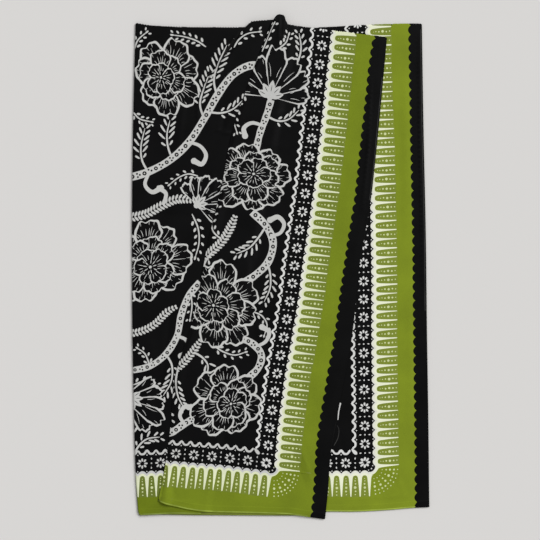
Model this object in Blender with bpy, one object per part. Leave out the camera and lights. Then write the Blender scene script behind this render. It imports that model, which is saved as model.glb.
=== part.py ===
"""A batik sarong cloth, folded in four and laid flat, its front pair turned a little by one slanting pleat.

Metres, +Z up. The origin is on the surface that the cloth lies on, under the middle of the folded cloth.
+X runs to the selvages, +Y runs from the hems up to the top fold. The outside of the cloth faces up.
"""

from collections import namedtuple

import bpy
import numpy as np
from mathutils import Vector

MM = 0.001

# Driving dimensions, in metres
WALL = 1.0 * MM  # one ply, as thick as it lies with the air under it
GAP = 0.3 * MM  # between plies
LEVEL = WALL + GAP  # from one ply to the next
LOWER_Z, MIDDLE_Z, UPPER_Z, FRONT_Z = (WALL / 2 + k * LEVEL for k in range(4))  # middles of the four plies
UNDERLAY_Z = FRONT_Z + LEVEL  # the ply that the pleat turns back
FLAP_Z = FRONT_Z + 2 * LEVEL  # the flap where it lies over the pleat
LIP = 0.5 * MM  # a folded edge's middle surface is this far inside its outline
SIDE_RUN, TOP_RUN = 3 * MM, 2 * MM  # how far in from its outline a folded edge starts to turn down
PLEAT_RADIUS = 0.85 * MM  # the soft fold along the flap's left edge
SLOPE = 16 * MM  # how far the flap takes to come down beside the pleat
UNDERLAY_SHORT = 5 * MM  # the ply under the flap stops this far below its folded top edge
SEAM = 0.4 * MM  # between the hidden end of one stretch and the next
ROUNDING = 0.3 * MM  # edges of the hidden plies
SIDE_ROOM, SIDE_ROOM_UPPER, FOLD_ROOM = 2.4 * MM, 2.8 * MM, 2.6 * MM  # from a folded edge to the plies in it
HEM_STEP, SELVAGE_STEP = 1.2 * MM, 1.0 * MM  # the lowest ply stops this far short of the one above it
WEB_INSET = 9 * MM  # what joins the hidden plies stays this far inside them
DROOP = 2.0 * MM  # what hangs past the back pair's hem sinks towards the surface
DROOP_START, DROOP_RUN = -475.5 * MM, 12 * MM
DROOP_LEFT, DROOP_RIGHT = 0.0, 80 * MM  # it grows between these, as the front pair's hem slants down
INNER_DROOP = 1.2  # the ply inside the front pair sinks more by this factor
RIDGE_FOOT, RIDGE_RUN = 4 * MM, 118 * MM  # the soft ridge rises in the first and sinks in the second
TIP_RISE = 3.0 * MM  # the pinched tip stands this much higher than the flap
TIP_BASE = 0.93  # the tip grows out of the flap from this share of its length
TIP_LEFT, TIP_RIGHT, TIP_END = 12 * MM, 27 * MM, 36 * MM  # it is at its height between the first two

# Outlines, in millimetres: x and y are read along the photographed edge, hem to top or left to right.
Edge = namedtuple("Edge", "y x")
LEFT_EDGE = [
    Edge(-480, -270.5),
    Edge(-473, -274),
    Edge(-400, -279.8),
    Edge(-355, -281.7),
    Edge(-199, -285.5),
    Edge(70, -287.5),
    Edge(265, -285.5),
    Edge(470, -279.5),
]
BACK_RIGHT = [
    Edge(-464, 287.3),
    Edge(-313, 285.5),
    Edge(-122, 282.4),
    Edge(61, 280.1),
    Edge(282, 275.3),
    Edge(468, 272.6),
]
# The pleat's hidden fold, under the flap
PLEAT_UNDER = [Edge(-480, -151), Edge(-10, -65.5), Edge(465, 23)]
# Where the back stretch begins, under the flap
TUCK_LINE = [Edge(-490, 56), Edge(470, 176)]
# The soft ridge that runs down from the pinch
RIDGE = [
    Edge(-480, -222),
    Edge(32, -183),
    Edge(263, -160),
    Edge(321, -155),
    Edge(375, -126),
    Edge(415, -97),
    Edge(462, -64),
]
Height = namedtuple("Height", "y z")
RIDGE_HEIGHT = [Height(250, 0), Height(300, 0.8), Height(350, 2.4), Height(400, 4.2), Height(462, 5.0)]

Rim = namedtuple("Rim", "x y")
FRONT_HEM = [Rim(-270, -479.5), Rim(-246, -478.3), Rim(-210, -476.8), Rim(-150, -477.7)]
FRONT_TOP = [
    Rim(-280, 470),
    Rim(-246, 464),
    Rim(-180, 461.5),
    Rim(-97, 461.2),
    Rim(-66, 461.2),
    Rim(-56, 472),
    Rim(-35, 474),
    Rim(-10, 475),
    Rim(23, 465),
]
# The ply inside the front pair shows a little past the flap's hem.
INNER_HEM = [Rim(-268, -477.7), Rim(-151, -479.3), Rim(38, -480.2), Rim(55, -480.6), Rim(84, -485.4)]
INNER_TOP = [Rim(-276, 467), Rim(-180, 461), Rim(-64, 460.2), Rim(9, 463), Rim(98, 455), Rim(206, 442)]
BACK_HEM = [
    Rim(-268, -475.5),
    Rim(92, -472.5),
    Rim(146, -472.7),
    Rim(208, -469.5),
    Rim(260, -465.2),
    Rim(288, -464),
]
BACK_TOP = [Rim(-276, 467), Rim(-180, 461), Rim(98, 462), Rim(161, 465.6), Rim(247, 468.3), Rim(273, 468.3)]

# The flap: each row crosses it, from its selvage to the fold over the pleat
FlapRow = namedtuple("FlapRow", "selvage_x selvage_y fold_x fold_y")
FLAP_ROWS = [
    FlapRow(86.2, -487.2, -235.5, -451.7),
    FlapRow(91.4, -438.3, -225.1, -402.1),
    FlapRow(97.7, -355.4, -212.7, -319.6),
    FlapRow(117.0, -249.5, -202.1, -212.3),
    FlapRow(137.0, -141.7, -169.6, -107.0),
    FlapRow(154.9, 18.2, -138.0, 51.7),
    FlapRow(174.0, 126.1, -112.2, 159.0),
    FlapRow(185.2, 224.3, -92.9, 256.1),
    FlapRow(192.7, 301.3, -68.9, 331.0),
    FlapRow(205.6, 441.9, -18.8, 467.5),
]
# How far the flap's hem bows down, and the tip stands up, at each distance from the fold
Bow = namedtuple("Bow", "across down")
HEM_BOW = [
    Bow(0, 0),
    Bow(19, -5),
    Bow(57, -9.5),
    Bow(81, -10.5),
    Bow(110, -10),
    Bow(177, -4),
    Bow(254, 2),
    Bow(322, 0),
]
HEM_BOW_FADE = 0.16  # the bow fades out in this share of the flap's length
Tip = namedtuple("Tip", "across up")
TIP = [
    Tip(0, 0),
    Tip(3, 5),
    Tip(9.5, 15),
    Tip(19, 22),
    Tip(27.5, 20),
    Tip(31, 3),
    Tip(38, 2),
    Tip(116, 1),
    Tip(225, 0),
]

# Where the walls have their columns and rows, as shares of the stretch unless they say millimetres
FIELD_COLUMNS = (0.1, 0.27, 0.45, 0.62, 0.75)  # from the left edge to the ridge
RIDGE_COLUMNS = (-7, -3, -1, 1, 4, 12, 28)  # millimetres from the ridge line
COVERED_COLUMNS = (0.34, 0.67, 1.0)  # from there to the pleat's hidden fold
UNDERLAY_COLUMNS = (1.0, 0.66, 0.33)  # from the hidden fold back towards the pleat's edge
PLEAT_COLUMNS = (0.08, 0.25, 0.5, 0.72, 0.82, 1.0)  # over the pleat
SLOPE_COLUMNS = (0.3, 0.65, 1.0)
FLAP_COLUMNS = (0.12, 0.26, 0.4, 0.55, 0.7, 0.85, 1.0)  # from the slope to the selvage
BACK_COLUMNS = (0, 0.15, 0.3, 0.5, 0.7, 0.85, 1)
HEM_SHARES = (0, 0.005, 0.01, 0.016, 0.05, 0.1, 0.16, 0.23)
MIDDLE_SHARES = (0.31, 0.39, 0.47, 0.55, 0.62, 0.69, 0.75, 0.8)
TOP_SHARES = (0.84, 0.875, 0.905, 0.93, 0.95, 0.97, 0.985, 0.996)
ROW_SHARES = HEM_SHARES + MIDDLE_SHARES + TOP_SHARES
PLATE_COLUMNS = 12
PLATE_SHARES = (0, 0.004, 0.008, 0.013, 0.09, 0.2, 0.32, 0.44, 0.56, 0.68, 0.8, 0.92, 1)
TURN_ANGLES = (90, 60, 32, 8)  # of a folded edge's round, in degrees
PLEAT_ANGLES = (270, 225, 180, 135, 90)

BLACK_DYE = (0.012, 0.012, 0.012, 1)
GREEN_DYE = (0.20, 0.26, 0.02, 1)
DARK_INSIDE = (0.05, 0.05, 0.045, 1)


def smooth(share):
    share = min(max(share, 0.0), 1.0)
    return share * share * (3 - 2 * share)


def between(at, value, where):
    """The value at one place on a smooth line through these points."""
    slope = np.gradient(value, at)
    k = int(np.clip(np.searchsorted(at, where) - 1, 0, len(at) - 2))
    span = at[k + 1] - at[k]
    s = min(max((where - at[k]) / span, 0.0), 1.0)
    rise = 3 * s**2 - 2 * s**3
    tangents = (s**3 - 2 * s**2 + s) * slope[k] + (s**3 - s**2) * slope[k + 1]
    return (1 - rise) * value[k] + rise * value[k + 1] + tangents * span


def curve(rows):
    """A smooth function through a table whose first column is what it is read by, both in millimetres."""
    at = np.array([row[0] for row in rows], float) * MM
    value = np.array([row[1] for row in rows], float) * MM
    return lambda where: between(at, value, where)


def straight(rows):
    """As curve, with straight runs between the rows."""
    at = [row[0] * MM for row in rows]
    value = [row[1] * MM for row in rows]
    return lambda where: float(np.interp(where, at, value))


left_edge, back_right, pleat_under = curve(LEFT_EDGE), curve(BACK_RIGHT), curve(PLEAT_UNDER)
ridge_line, ridge_height = curve(RIDGE), straight(RIDGE_HEIGHT)
front_hem, front_top = curve(FRONT_HEM), straight(FRONT_TOP)
inner_hem, inner_top = straight(INNER_HEM), straight(INNER_TOP)
back_hem, back_top = curve(BACK_HEM), curve(BACK_TOP)
hem_bow, tip_reach, tuck_line = straight(HEM_BOW), straight(TIP), straight(TUCK_LINE)
flap_selvage = curve([(row.selvage_y, row.selvage_x) for row in FLAP_ROWS])


def lift(x, y):
    """How far the soft ridge raises every ply above it: steep on its left, sinking slowly to its right."""
    side = x - ridge_line(y)
    height = ridge_height(y)
    if side < 0:
        return height * smooth(1 + side / RIDGE_FOOT)
    return height * (1 - smooth(side / RIDGE_RUN))


def droop(x, y):
    along = smooth((x - DROOP_LEFT) / (DROOP_RIGHT - DROOP_LEFT))
    return -DROOP * along * smooth((DROOP_START - y) / DROOP_RUN)


def round_over(top, end, run):
    """(inset, height) pairs of a folded edge, from the flat ply down to its end."""
    reach = min(run, 0.8 * (top - end))
    pairs = []
    for angle in np.radians(TURN_ANGLES):
        pairs.append((LIP + run * (1 - np.cos(angle)), top - reach * (1 - np.sin(angle))))
    pairs.append((0.9 * LIP, end))
    return pairs


def crossing(left, right, hem, top, across, up):
    """The point at these shares of the way across and up between four edge functions."""
    x, y = 0.0, 0.0
    for _ in range(4):
        x = left(y) + (right(y) - left(y)) * across
        y = hem(x) + (top(x) - hem(x)) * up
    return x, y


def front_columns(y):
    """Where the front stretch's columns cross this height, past its rounded left edge."""
    start, ridge, end = left_edge(y), ridge_line(y), pleat_under(y) - SEAM
    stops = [start + (ridge - start) * part for part in FIELD_COLUMNS]
    stops += [ridge + offset * MM for offset in RIDGE_COLUMNS]
    last = stops[-1]
    return stops + [last + (end - last) * part for part in COVERED_COLUMNS]


def front_stretch_points():
    """The left stretch of the front ply: its folded left edge, the field with the ridge, and its covered end."""
    side = round_over(FRONT_Z, 0.0, SIDE_RUN)[::-1]
    top = round_over(FRONT_Z, UPPER_Z - WALL / 2, TOP_RUN)
    lowest, highest = FRONT_HEM[0].y * MM, FRONT_TOP[1].y * MM
    grid = []
    for share, (inset, turned) in [(share, top[0]) for share in ROW_SHARES] + [(1.0, pair) for pair in top]:
        middle_y = lowest + share * (highest - lowest)
        stops = [(left_edge(middle_y) + room, height) for room, height in side]
        stops += [(x, FRONT_Z) for x in front_columns(middle_y)]
        row = []
        for x, height in stops:
            z = min(height, turned)
            y = front_hem(x) + (front_top(x) - inset - front_hem(x)) * share
            row.append(Vector((x, y, z + lift(x, y) * smooth(z / FRONT_Z) + droop(x, y))))
        grid.append(row)
    return grid


def flap_row(share):
    """(selvage point, fold point) of the row at this share of the flap's length."""
    stations = np.array([row.selvage_y for row in FLAP_ROWS])
    stations = (stations - stations[0]) / (stations[-1] - stations[0])
    places = [between(stations, np.array(column) * MM, share) for column in zip(*FLAP_ROWS)]
    return Vector(places[:2]), Vector(places[2:])


class FlapRow3D:
    """One row of the flap, which places points at a distance from the pleat's edge."""

    def __init__(self, share, inset, turned):
        selvage, self.fold = flap_row(share)
        self.share, self.inset, self.turned = share, inset, turned
        self.width = (selvage - self.fold).length
        self.along = (selvage - self.fold) / self.width
        self.over = (pleat_under(self.fold.y) - self.fold.x) / self.along.x
        self.bow = 1 - smooth(share / HEM_BOW_FADE)
        self.tip = smooth((share - TIP_BASE) / (ROW_SHARES[-1] - TIP_BASE))

    def at(self, across, z, down, raised=0.0):
        flat = self.fold + self.along * across
        y = flat.y + hem_bow(across) * self.bow - down
        return Vector((flat.x, y, z + lift(flat.x, y) + droop(flat.x, y) + raised))

    def under(self, across, z):
        """On the ply that the pleat turns back, which ends below the flap's folded top edge."""
        return self.at(across, z, UNDERLAY_SHORT * self.tip + 0.1 * self.inset)

    def upper(self, across, z):
        """On the flap itself, with its folded top edge and the tip."""
        easing = smooth((across - self.over) / SLOPE)
        turned = self.turned * (0.65 + 0.35 * easing)
        sides = smooth(across / TIP_LEFT) * (1 - smooth((across - TIP_RIGHT) / (TIP_END - TIP_RIGHT)))
        down = self.inset * self.share - tip_reach(across) * self.tip
        return self.at(across, z + turned, down, TIP_RISE * self.tip * sides)


def flap_points():
    """The flap: the ply turned back under it, the soft fold, and the stretch from there to the selvage."""
    turn = round_over(0.0, UPPER_Z - WALL / 2 - FRONT_Z, TOP_RUN)
    centre = UNDERLAY_Z + PLEAT_RADIUS
    grid = []
    for share, (inset, turned) in [(share, turn[0]) for share in ROW_SHARES] + [(1.0, pair) for pair in turn]:
        here = FlapRow3D(share, inset, turned)
        row = [here.under(here.over * part - SEAM, UNDERLAY_Z) for part in UNDERLAY_COLUMNS]
        row.append(here.under(LIP + 4 * PLEAT_RADIUS, UNDERLAY_Z))
        for angle in np.radians(PLEAT_ANGLES):
            across = LIP + PLEAT_RADIUS * (1 + np.cos(angle))
            row.append(here.under(across, centre + PLEAT_RADIUS * np.sin(angle)))
        for part in PLEAT_COLUMNS:
            row.append(here.upper(max(here.over * part, LIP + 2.6 * PLEAT_RADIUS), FLAP_Z))
        for part in SLOPE_COLUMNS:
            row.append(here.upper(here.over + SLOPE * part, FLAP_Z - (FLAP_Z - FRONT_Z) * smooth(part)))
        first = here.over + SLOPE
        for part in FLAP_COLUMNS:
            row.append(here.upper(first + (here.width - first) * part, FRONT_Z))
        grid.append(row)
    return grid


def back_stretch_points():
    """The part of the back pair's upper ply that shows past the flap, with its folded top edge."""
    top = round_over(MIDDLE_Z, GAP, TOP_RUN)
    grid = []
    for share, (inset, z) in [(share, top[0]) for share in ROW_SHARES] + [(1.0, pair) for pair in top]:
        row = []
        for part in BACK_COLUMNS:
            x, y = crossing(tuck_line, back_right, back_hem, lambda x: back_top(x) - inset, part, share)
            row.append(Vector((x, y, z)))
        grid.append(row)
    return grid


def plate_points(left, right, hem, top, z):
    """A hidden ply between four edge functions."""
    grid = []
    for share in PLATE_SHARES:
        row = []
        for a in range(PLATE_COLUMNS + 1):
            x, y = crossing(left, right, hem, top, a / PLATE_COLUMNS, share)
            row.append(Vector((x, y, z + INNER_DROOP * droop(x, y))))
        grid.append(row)
    return grid


def cloth_material(name, colour):
    material = bpy.data.materials.new(name)
    material.use_nodes = True
    shader = material.node_tree.nodes["Principled BSDF"]
    shader.inputs["Base Color"].default_value = colour
    shader.inputs["Roughness"].default_value = 0.85
    shader.inputs["Metallic"].default_value = 0.0
    material.diffuse_color = colour
    return material


def wall(name, grid, colour, rounding=0.0):
    """A ply of cloth: its middle surface, thickened to both sides."""
    across = len(grid[0])
    corners = [point for row in grid for point in row]
    faces = []
    for j in range(len(grid) - 1):
        for i in range(across - 1):
            a = j * across + i
            faces.append((a, a + 1, a + across + 1, a + across))
    mesh = bpy.data.meshes.new(name)
    mesh.from_pydata(corners, [], faces)
    mesh.materials.append(cloth_material(name, colour))
    obj = bpy.data.objects.new(name, mesh)
    bpy.context.collection.objects.link(obj)
    thick = obj.modifiers.new("Ply thickness", "SOLIDIFY")
    thick.thickness = WALL
    thick.offset = 0.0
    thick.use_even_offset = True
    if rounding:
        bevel = obj.modifiers.new("Soft edges", "BEVEL")
        bevel.width = rounding
        bevel.segments = 2
        bevel.limit_method = "ANGLE"
        bevel.angle_limit = np.radians(50)
    mesh.shade_smooth()
    mesh.set_sharp_from_angle(angle=np.radians(40))
    return obj


def joined(obj, other):
    """Adds another solid to this one and keeps that one as a guide."""
    union = obj.modifiers.new("With " + other.name, "BOOLEAN")
    union.operation = "UNION"
    union.object = other
    other.hide_render = True
    other.display_type = "WIRE"


def web_between_plies():
    """What holds the hidden plies together: it stays inside them, so that their edges show as layers."""
    grid = plate_points(
        lambda y: left_edge(y) + WEB_INSET,
        lambda y: tuck_line(y) - WEB_INSET,
        lambda x: max(inner_hem(x), back_hem(x)) + WEB_INSET,
        lambda x: min(inner_top(x), back_top(x)) - WEB_INSET,
        (LOWER_Z + UPPER_Z) / 2,
    )
    web = wall("web_between_plies", grid, DARK_INSIDE)
    web.modifiers["Ply thickness"].thickness = UPPER_Z - LOWER_Z
    return web


def hidden_ply(name, left, right, hem, top, z):
    return wall(name, plate_points(left, right, hem, top, z), DARK_INSIDE, ROUNDING)


def hidden_layers():
    """The plies that the visible stretches cover: one solid, layered at its edges."""
    lower = hidden_ply(
        "hidden_layers",
        lambda y: left_edge(y) + SIDE_ROOM,
        lambda y: back_right(y) - SELVAGE_STEP,
        lambda x: back_hem(x) + HEM_STEP,
        lambda x: back_top(x) - FOLD_ROOM,
        LOWER_Z,
    )
    middle = hidden_ply(
        "hidden_middle_ply",
        lambda y: left_edge(y) + SIDE_ROOM,
        lambda y: tuck_line(y) - 4 * SEAM,
        back_hem,
        lambda x: back_top(x) - FOLD_ROOM,
        MIDDLE_Z,
    )
    selvage_low, selvage_high = FLAP_ROWS[0].selvage_y * MM, FLAP_ROWS[-1].selvage_y * MM
    upper = hidden_ply(
        "hidden_upper_ply",
        lambda y: left_edge(y) + SIDE_ROOM_UPPER,
        lambda y: flap_selvage(min(max(y, selvage_low), selvage_high)) - 1.5 * SELVAGE_STEP,
        inner_hem,
        lambda x: inner_top(x) - FOLD_ROOM,
        UPPER_Z,
    )
    for part in (web_between_plies(), middle, upper):
        joined(lower, part)


def main():
    for obj in list(bpy.data.objects):
        bpy.data.objects.remove(obj, do_unlink=True)
    hidden_layers()
    wall("back_stretch", back_stretch_points(), GREEN_DYE)
    wall("front_stretch", front_stretch_points(), BLACK_DYE)
    wall("flap_stretch", flap_points(), BLACK_DYE)


main()
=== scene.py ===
"""A batik sarong cloth folded in four, seen from straight above.

Lengths are millimetres until a mesh is made.

Each visible stretch of the cloth is a thin shell. Its print is drawn flat on the cloth, in cloth coordinates
(u in from the selvage or the folded edge, v up from the hem), cut into triangles along every drawn edge, and
then carried to where the folded cloth lies.
"""

import math

import bpy
import numpy as np
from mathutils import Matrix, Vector
from mathutils.geometry import delaunay_2d_cdt


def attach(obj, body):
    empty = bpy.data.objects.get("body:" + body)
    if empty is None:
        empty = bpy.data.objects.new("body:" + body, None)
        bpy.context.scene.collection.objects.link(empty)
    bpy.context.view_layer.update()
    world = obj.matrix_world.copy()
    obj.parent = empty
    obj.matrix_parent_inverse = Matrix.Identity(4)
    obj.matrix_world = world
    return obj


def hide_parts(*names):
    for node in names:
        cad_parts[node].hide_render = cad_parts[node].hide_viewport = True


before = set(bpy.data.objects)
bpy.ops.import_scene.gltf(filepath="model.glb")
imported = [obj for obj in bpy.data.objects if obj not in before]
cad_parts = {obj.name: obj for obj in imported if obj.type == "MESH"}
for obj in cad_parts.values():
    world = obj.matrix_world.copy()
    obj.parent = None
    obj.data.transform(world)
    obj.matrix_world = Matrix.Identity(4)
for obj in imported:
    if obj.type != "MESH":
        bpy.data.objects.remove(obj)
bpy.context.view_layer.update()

MM = 0.001
PX = 1.926  # millimetres of cloth in one pixel of the photograph
PX_X, PX_Y = 280.25, 266.45  # the pixel under the middle of the folded cloth

# Where the plies' middle surfaces lie
PLY = 0.5
FLOOR_PLY, MIDDLE_PLY, INNER_PLY, FRONT_PLY = 0.27, 2.05, 3.1, 4.65
UNDERLAY_PLY, FLAP_PLY = 5.75, 7.2
HALF_SHEET = 0.25  # how far a ply's middle lies inside the edge of its fold

# The cloth: lengths of the stretches and where the print's bands lie
FRONT_LENGTH, FLAP_LENGTH, BACK_LENGTH = 943.0, 936.7, 936.0
FRONT_HEM_Y, FRONT_TOP_Y, BACK_HEM_Y = -479.5, 461.3, -470.0
FINGER_ALONG_HEM, FINGER_ALONG_SELVAGE = 17.3, 17.58
SPIKE_LENGTH = 21 * PX
CUSP, CREST, ROSETTE, WAVE = 23.0 * PX, 25.9 * PX, 33.5 * PX, 44.1 * PX

# Inks; the paler green along the hems' folds is a painted highlight
BLACK, GREEN, WHITE, SPIKE, LOBE, GREY_LINE, FINGER, DOT, HEM_HIGHLIGHT, BRIGHT, PEARL = range(11)


def px(points):
    """World millimetres of photograph pixels."""
    points = np.asarray(points, float).reshape(-1, 2)
    return np.column_stack([(points[:, 0] - PX_X) * PX, (PX_Y - points[:, 1]) * PX])


def smooth(share):
    share = np.clip(share, 0.0, 1.0)
    return share * share * (3 - 2 * share)


def curve(rows):
    """A smooth function through a table of (where, value) rows."""
    at, value = np.array(rows, float).T
    slope = np.gradient(value, at)

    def read(where):
        where = np.asarray(where, float)
        k = np.clip(np.searchsorted(at, where) - 1, 0, len(at) - 2)
        span = at[k + 1] - at[k]
        s = np.clip((where - at[k]) / span, 0.0, 1.0)
        rise = 3 * s**2 - 2 * s**3
        tangents = (s**3 - 2 * s**2 + s) * slope[k] + (s**3 - s**2) * slope[k + 1]
        return (1 - rise) * value[k] + rise * value[k + 1] + tangents * span

    return read


def straight(rows):
    at, value = np.array(rows, float).T
    return lambda where: np.interp(where, at, value)


# Outlines as the solids have them: (y, x) for the sides, (x, y) for the hems and tops
left_edge = curve([(-481, -271.0), (-476, -273.2), (-462, -275.0), (-440, -276.6), (-400, -278.9),
                   (-355, -280.4), (-199, -284.0), (70, -286.0), (265, -284.0), (470, -278.9)])
back_right = curve([(-464, 287.7), (-313, 286.1), (-122, 283.2), (61, 281.0), (282, 276.3), (468, 273.4)])
pleat_under = curve([(-480, -151), (-10, -65.5), (465, 23)])
tuck_line = straight([(-490, 56), (418, 169.5), (440, 58), (490, 58)])
ridge_line = curve([(-480, -222), (32, -183), (263, -160), (321, -155), (375, -126), (415, -97), (462, -64)])
ridge_height = straight([(250, 0), (300, 0.8), (350, 2.4), (400, 4.2), (462, 5.0)])
front_hem = curve([(-270, -479.5), (-246, -478.3), (-210, -476.8), (-150, -477.7)])
front_top = straight([(-280, 470), (-246, 464), (-180, 461.5), (-97, 461.2), (-66, 461.2), (-56, 472),
                      (-35, 474), (-10, 475), (23, 465)])
inner_hem = straight([(-268, -477.7), (-151, -479.3), (38, -480.2), (55, -480.6), (84, -485.4)])
inner_top = straight([(-276, 467), (-180, 461), (-64, 460.2), (9, 463), (98, 455), (206, 442)])
back_hem = curve([(-268, -475.5), (92, -472.5), (146, -472.7), (208, -469.5), (260, -465.2), (288, -464)])
back_top = curve([(-276, 467), (-180, 461), (98, 462), (161, 465.6), (247, 468.3), (273, 468.3)])

# The flap's rows, from its selvage to the fold over the pleat
FLAP_ROWS = [  # selvage x, selvage y, fold x, fold y
    (86.2, -487.2, -235.5, -451.7),
    (91.4, -438.3, -225.1, -402.1),
    (97.7, -355.4, -212.7, -319.6),
    (117.0, -249.5, -202.1, -212.3),
    (137.0, -141.7, -169.6, -107.0),
    (154.9, 18.2, -138.0, 51.7),
    (174.0, 126.1, -112.2, 159.0),
    (185.2, 224.3, -92.9, 256.1),
    (192.7, 301.3, -68.9, 331.0),
    (205.6, 441.9, -18.8, 467.5),
]
flap_shares = (np.array(FLAP_ROWS)[:, 1] + 487.2) / (441.9 + 487.2)
flap_columns = [curve(list(zip(flap_shares, column))) for column in zip(*FLAP_ROWS)]
hem_bow = straight([(0, 0), (19, -5), (57, -9.5), (81, -10.5), (110, -10), (177, -4), (254, 2), (322, 0)])
tip_reach = straight([(0, 0), (3, 3.5), (7, 9.5), (9.5, 13.5), (12.5, 17), (17, 19),
                      (24, 18.6), (27, 17), (28.5, 13), (30, 5), (32, 2.5), (38, 2),
                      (116, 1), (225, 0)])


def lift(x, y):
    """The soft ridge below the pinch raises the plies above it."""
    side = x - ridge_line(y)
    fall = np.where(side < 0, smooth(1 + side / 5.0), 1 - smooth(side / 118.0))
    return ridge_height(y) * fall


def droop(x, y):
    """What hangs past the back pair's hem sinks towards the surface."""
    return -2.0 * smooth(x / 80.0) * smooth((-475.5 - y) / 12.0)


def hem_rise(depth):
    """The turned hem is thicker than the ply, with a soft step at its inner edge."""
    return 0.5 * (1 - smooth((depth - 11.6) / 1.8))


def noise(x, y, seed, size):
    """Slow, smooth unevenness between -1 and 1."""
    a = np.sin(x / size + 1.7 * seed + 1.3 * np.sin(y / (1.7 * size) + seed))
    b = np.sin(y / (1.3 * size) - 2.3 * seed + 1.1 * np.sin(x / (1.4 * size) + 2.0 * seed))
    return 0.5 * (a + b)


# Creases: height, half-width, and the pixels that each follows
FRONT_CREASES = [
    (-1.3, 3.2, [(244.5, 26), (238.5, 37), (228, 49), (221.5, 58), (213, 70), (205, 77), (196, 82)]),
    (1.2, 5.5, [(249.5, 26), (243.5, 40), (232.5, 53.5), (226, 63), (217, 75), (210, 82), (203, 88)]),
    (0.68, 6.0, [(196, 82), (186, 98), (181, 122), (178, 150)]),
    (-0.75, 4.0, [(205, 92), (200, 108), (206, 131)]),
    (0.9, 3.5, [(216, 131), (232, 133)]),
    (0.83, 4.0, [(213, 172), (214, 190), (213, 214)]),
    (-0.75, 5.0, [(232, 101), (225, 116), (221, 136)]),
    (0.6, 7.0, [(150, 40), (170, 62), (199, 80)]),
    (-0.52, 9.0, [(138, 205), (160, 214), (197, 216)]),
    (0.6, 7.0, [(150, 330), (153, 380), (148, 440)]),
    (-0.68, 5.0, [(172, 300), (166, 352), (160, 400)]),
    (0.45, 8.0, [(137, 120), (158, 128), (190, 122)]),
    (0.75, 3.0, [(143, 505), (152, 498), (158, 489)]),
]
FLAP_CREASES = [
    (1, 6.0, [(253, 31), (262, 24), (272, 22)]),
    (-0.9, 2.2, [(282.5, 20), (282, 28), (280.6, 37)]),
    (0.9, 2.4, [(279.5, 18), (279, 27), (278, 38)]),
    (-0.7, 3.2, [(243, 72), (238, 89), (233, 104)]),
    (0.9, 4.0, [(262, 52), (254, 75), (246, 100)]),
    (0.68, 6.0, [(258, 118), (285, 112), (300, 104)]),
    (-0.6, 7.0, [(246, 136), (268, 150), (290, 152)]),
    (1.2, 4.5, [(297, 440), (305, 460), (312, 484)]),
    (-1.0, 4.5, [(291, 447), (299, 466), (305, 486)]),
    (0.75, 4.0, [(224, 178), (222, 200), (214, 228)]),
    (-0.68, 6.0, [(236, 238), (251, 258), (250, 282)]),
    (0.6, 7.0, [(205, 300), (222, 322), (262, 330)]),
    (-0.52, 8.0, [(228, 350), (226, 380), (240, 402)]),
    (0.68, 5.0, [(256, 320), (262, 346), (259, 372)]),
    (-0.6, 4.0, [(176, 500), (172, 486), (173, 470)]),
    (0.75, 4.0, [(166, 504), (181, 501), (199, 505)]),
    (0.6, 8.0, [(336, 120), (330, 190), (322, 250)]),
    (-0.52, 9.0, [(347, 150), (340, 215), (331, 280)]),
    (0.52, 7.0, [(318, 330), (309, 380), (303, 430)]),
    (0.75, 3.0, [(371, 74), (368, 150), (362, 214)]),
]
BACK_CREASES = [
    (0.6, 7.0, [(405, 60), (407, 150), (409, 240)]),
    (-0.52, 6.0, [(399, 90), (400, 180), (401, 260)]),
    (0.6, 7.0, [(409, 280), (411, 360), (409, 430)]),
    (0.6, 4.0, [(345, 500), (375, 497), (410, 496)]),
    (-0.52, 5.0, [(340, 430), (345, 470), (343, 505)]),
    (0.75, 2.6, [(419, 30), (420, 130), (422.5, 235), (423.5, 330)]),
    (0.52, 5.0, [(391, 470), (399, 482), (405, 498)]),
]


def creases(rows, x, y):
    """Soft troughs and ridges along listed lines, which fade out at both ends."""
    total = np.zeros_like(x)
    for height, width, line in rows:
        path = flow(px(line), 10)
        steps = np.linalg.norm(np.diff(path, axis=0), axis=1)
        run = np.concatenate([[0], np.cumsum(steps)])
        near = (x > path[:, 0].min() - 3 * width) & (x < path[:, 0].max() + 3 * width)
        near &= (y > path[:, 1].min() - 3 * width) & (y < path[:, 1].max() + 3 * width)
        spots = np.column_stack([x[near], y[near]])
        if not len(spots):
            continue
        best = np.full(len(spots), 1e9)
        along = np.zeros(len(spots))
        for k in range(len(path) - 1):
            step = path[k + 1] - path[k]
            share = np.clip(((spots - path[k]) @ step) / (step @ step), 0, 1)
            gap = np.linalg.norm(spots - path[k] - share[:, None] * step, axis=1)
            closer = gap < best
            best[closer] = gap[closer]
            along[closer] = run[k] + share[closer] * steps[k]
        fade = np.sin(np.pi * np.clip(along / run[-1], 0.0, 1.0)) ** 0.6
        total[near] += height * fade * np.exp(-((best / width) ** 2))
    return total


def flow(points, parts):
    """A smooth line through points, with this many steps between two of them."""
    points = np.asarray(points, float)
    if len(points) < 3:
        share = np.linspace(0, 1, parts + 1)[:, None]
        return points[0] * (1 - share) + points[-1] * share
    padded = np.vstack([2 * points[0] - points[1], points, 2 * points[-1] - points[-2]])
    out = []
    for k in range(len(points) - 1):
        a, b, c, d = padded[k:k + 4]
        for s in np.linspace(0, 1, parts, endpoint=False):
            out.append(0.5 * (2 * b + (c - a) * s + (2 * a - 5 * b + 4 * c - d) * s**2
                              + (3 * b - a - 3 * c + d) * s**3))
    out.append(points[-1])
    return np.array(out)


# Where the folded cloth lies: each function takes cloth coordinates and gives world millimetres

def rolled(distance, reach, half):
    """Round a fold: how far a place has come in from the fold's edge, and its angle from the apex."""
    quarter = math.pi / 4 * (reach + half)
    turn = np.clip(distance / quarter, -1, 1) * (math.pi / 2)
    return reach * (1 - np.cos(turn)) + np.maximum(np.abs(distance) - quarter, 0), turn


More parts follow.
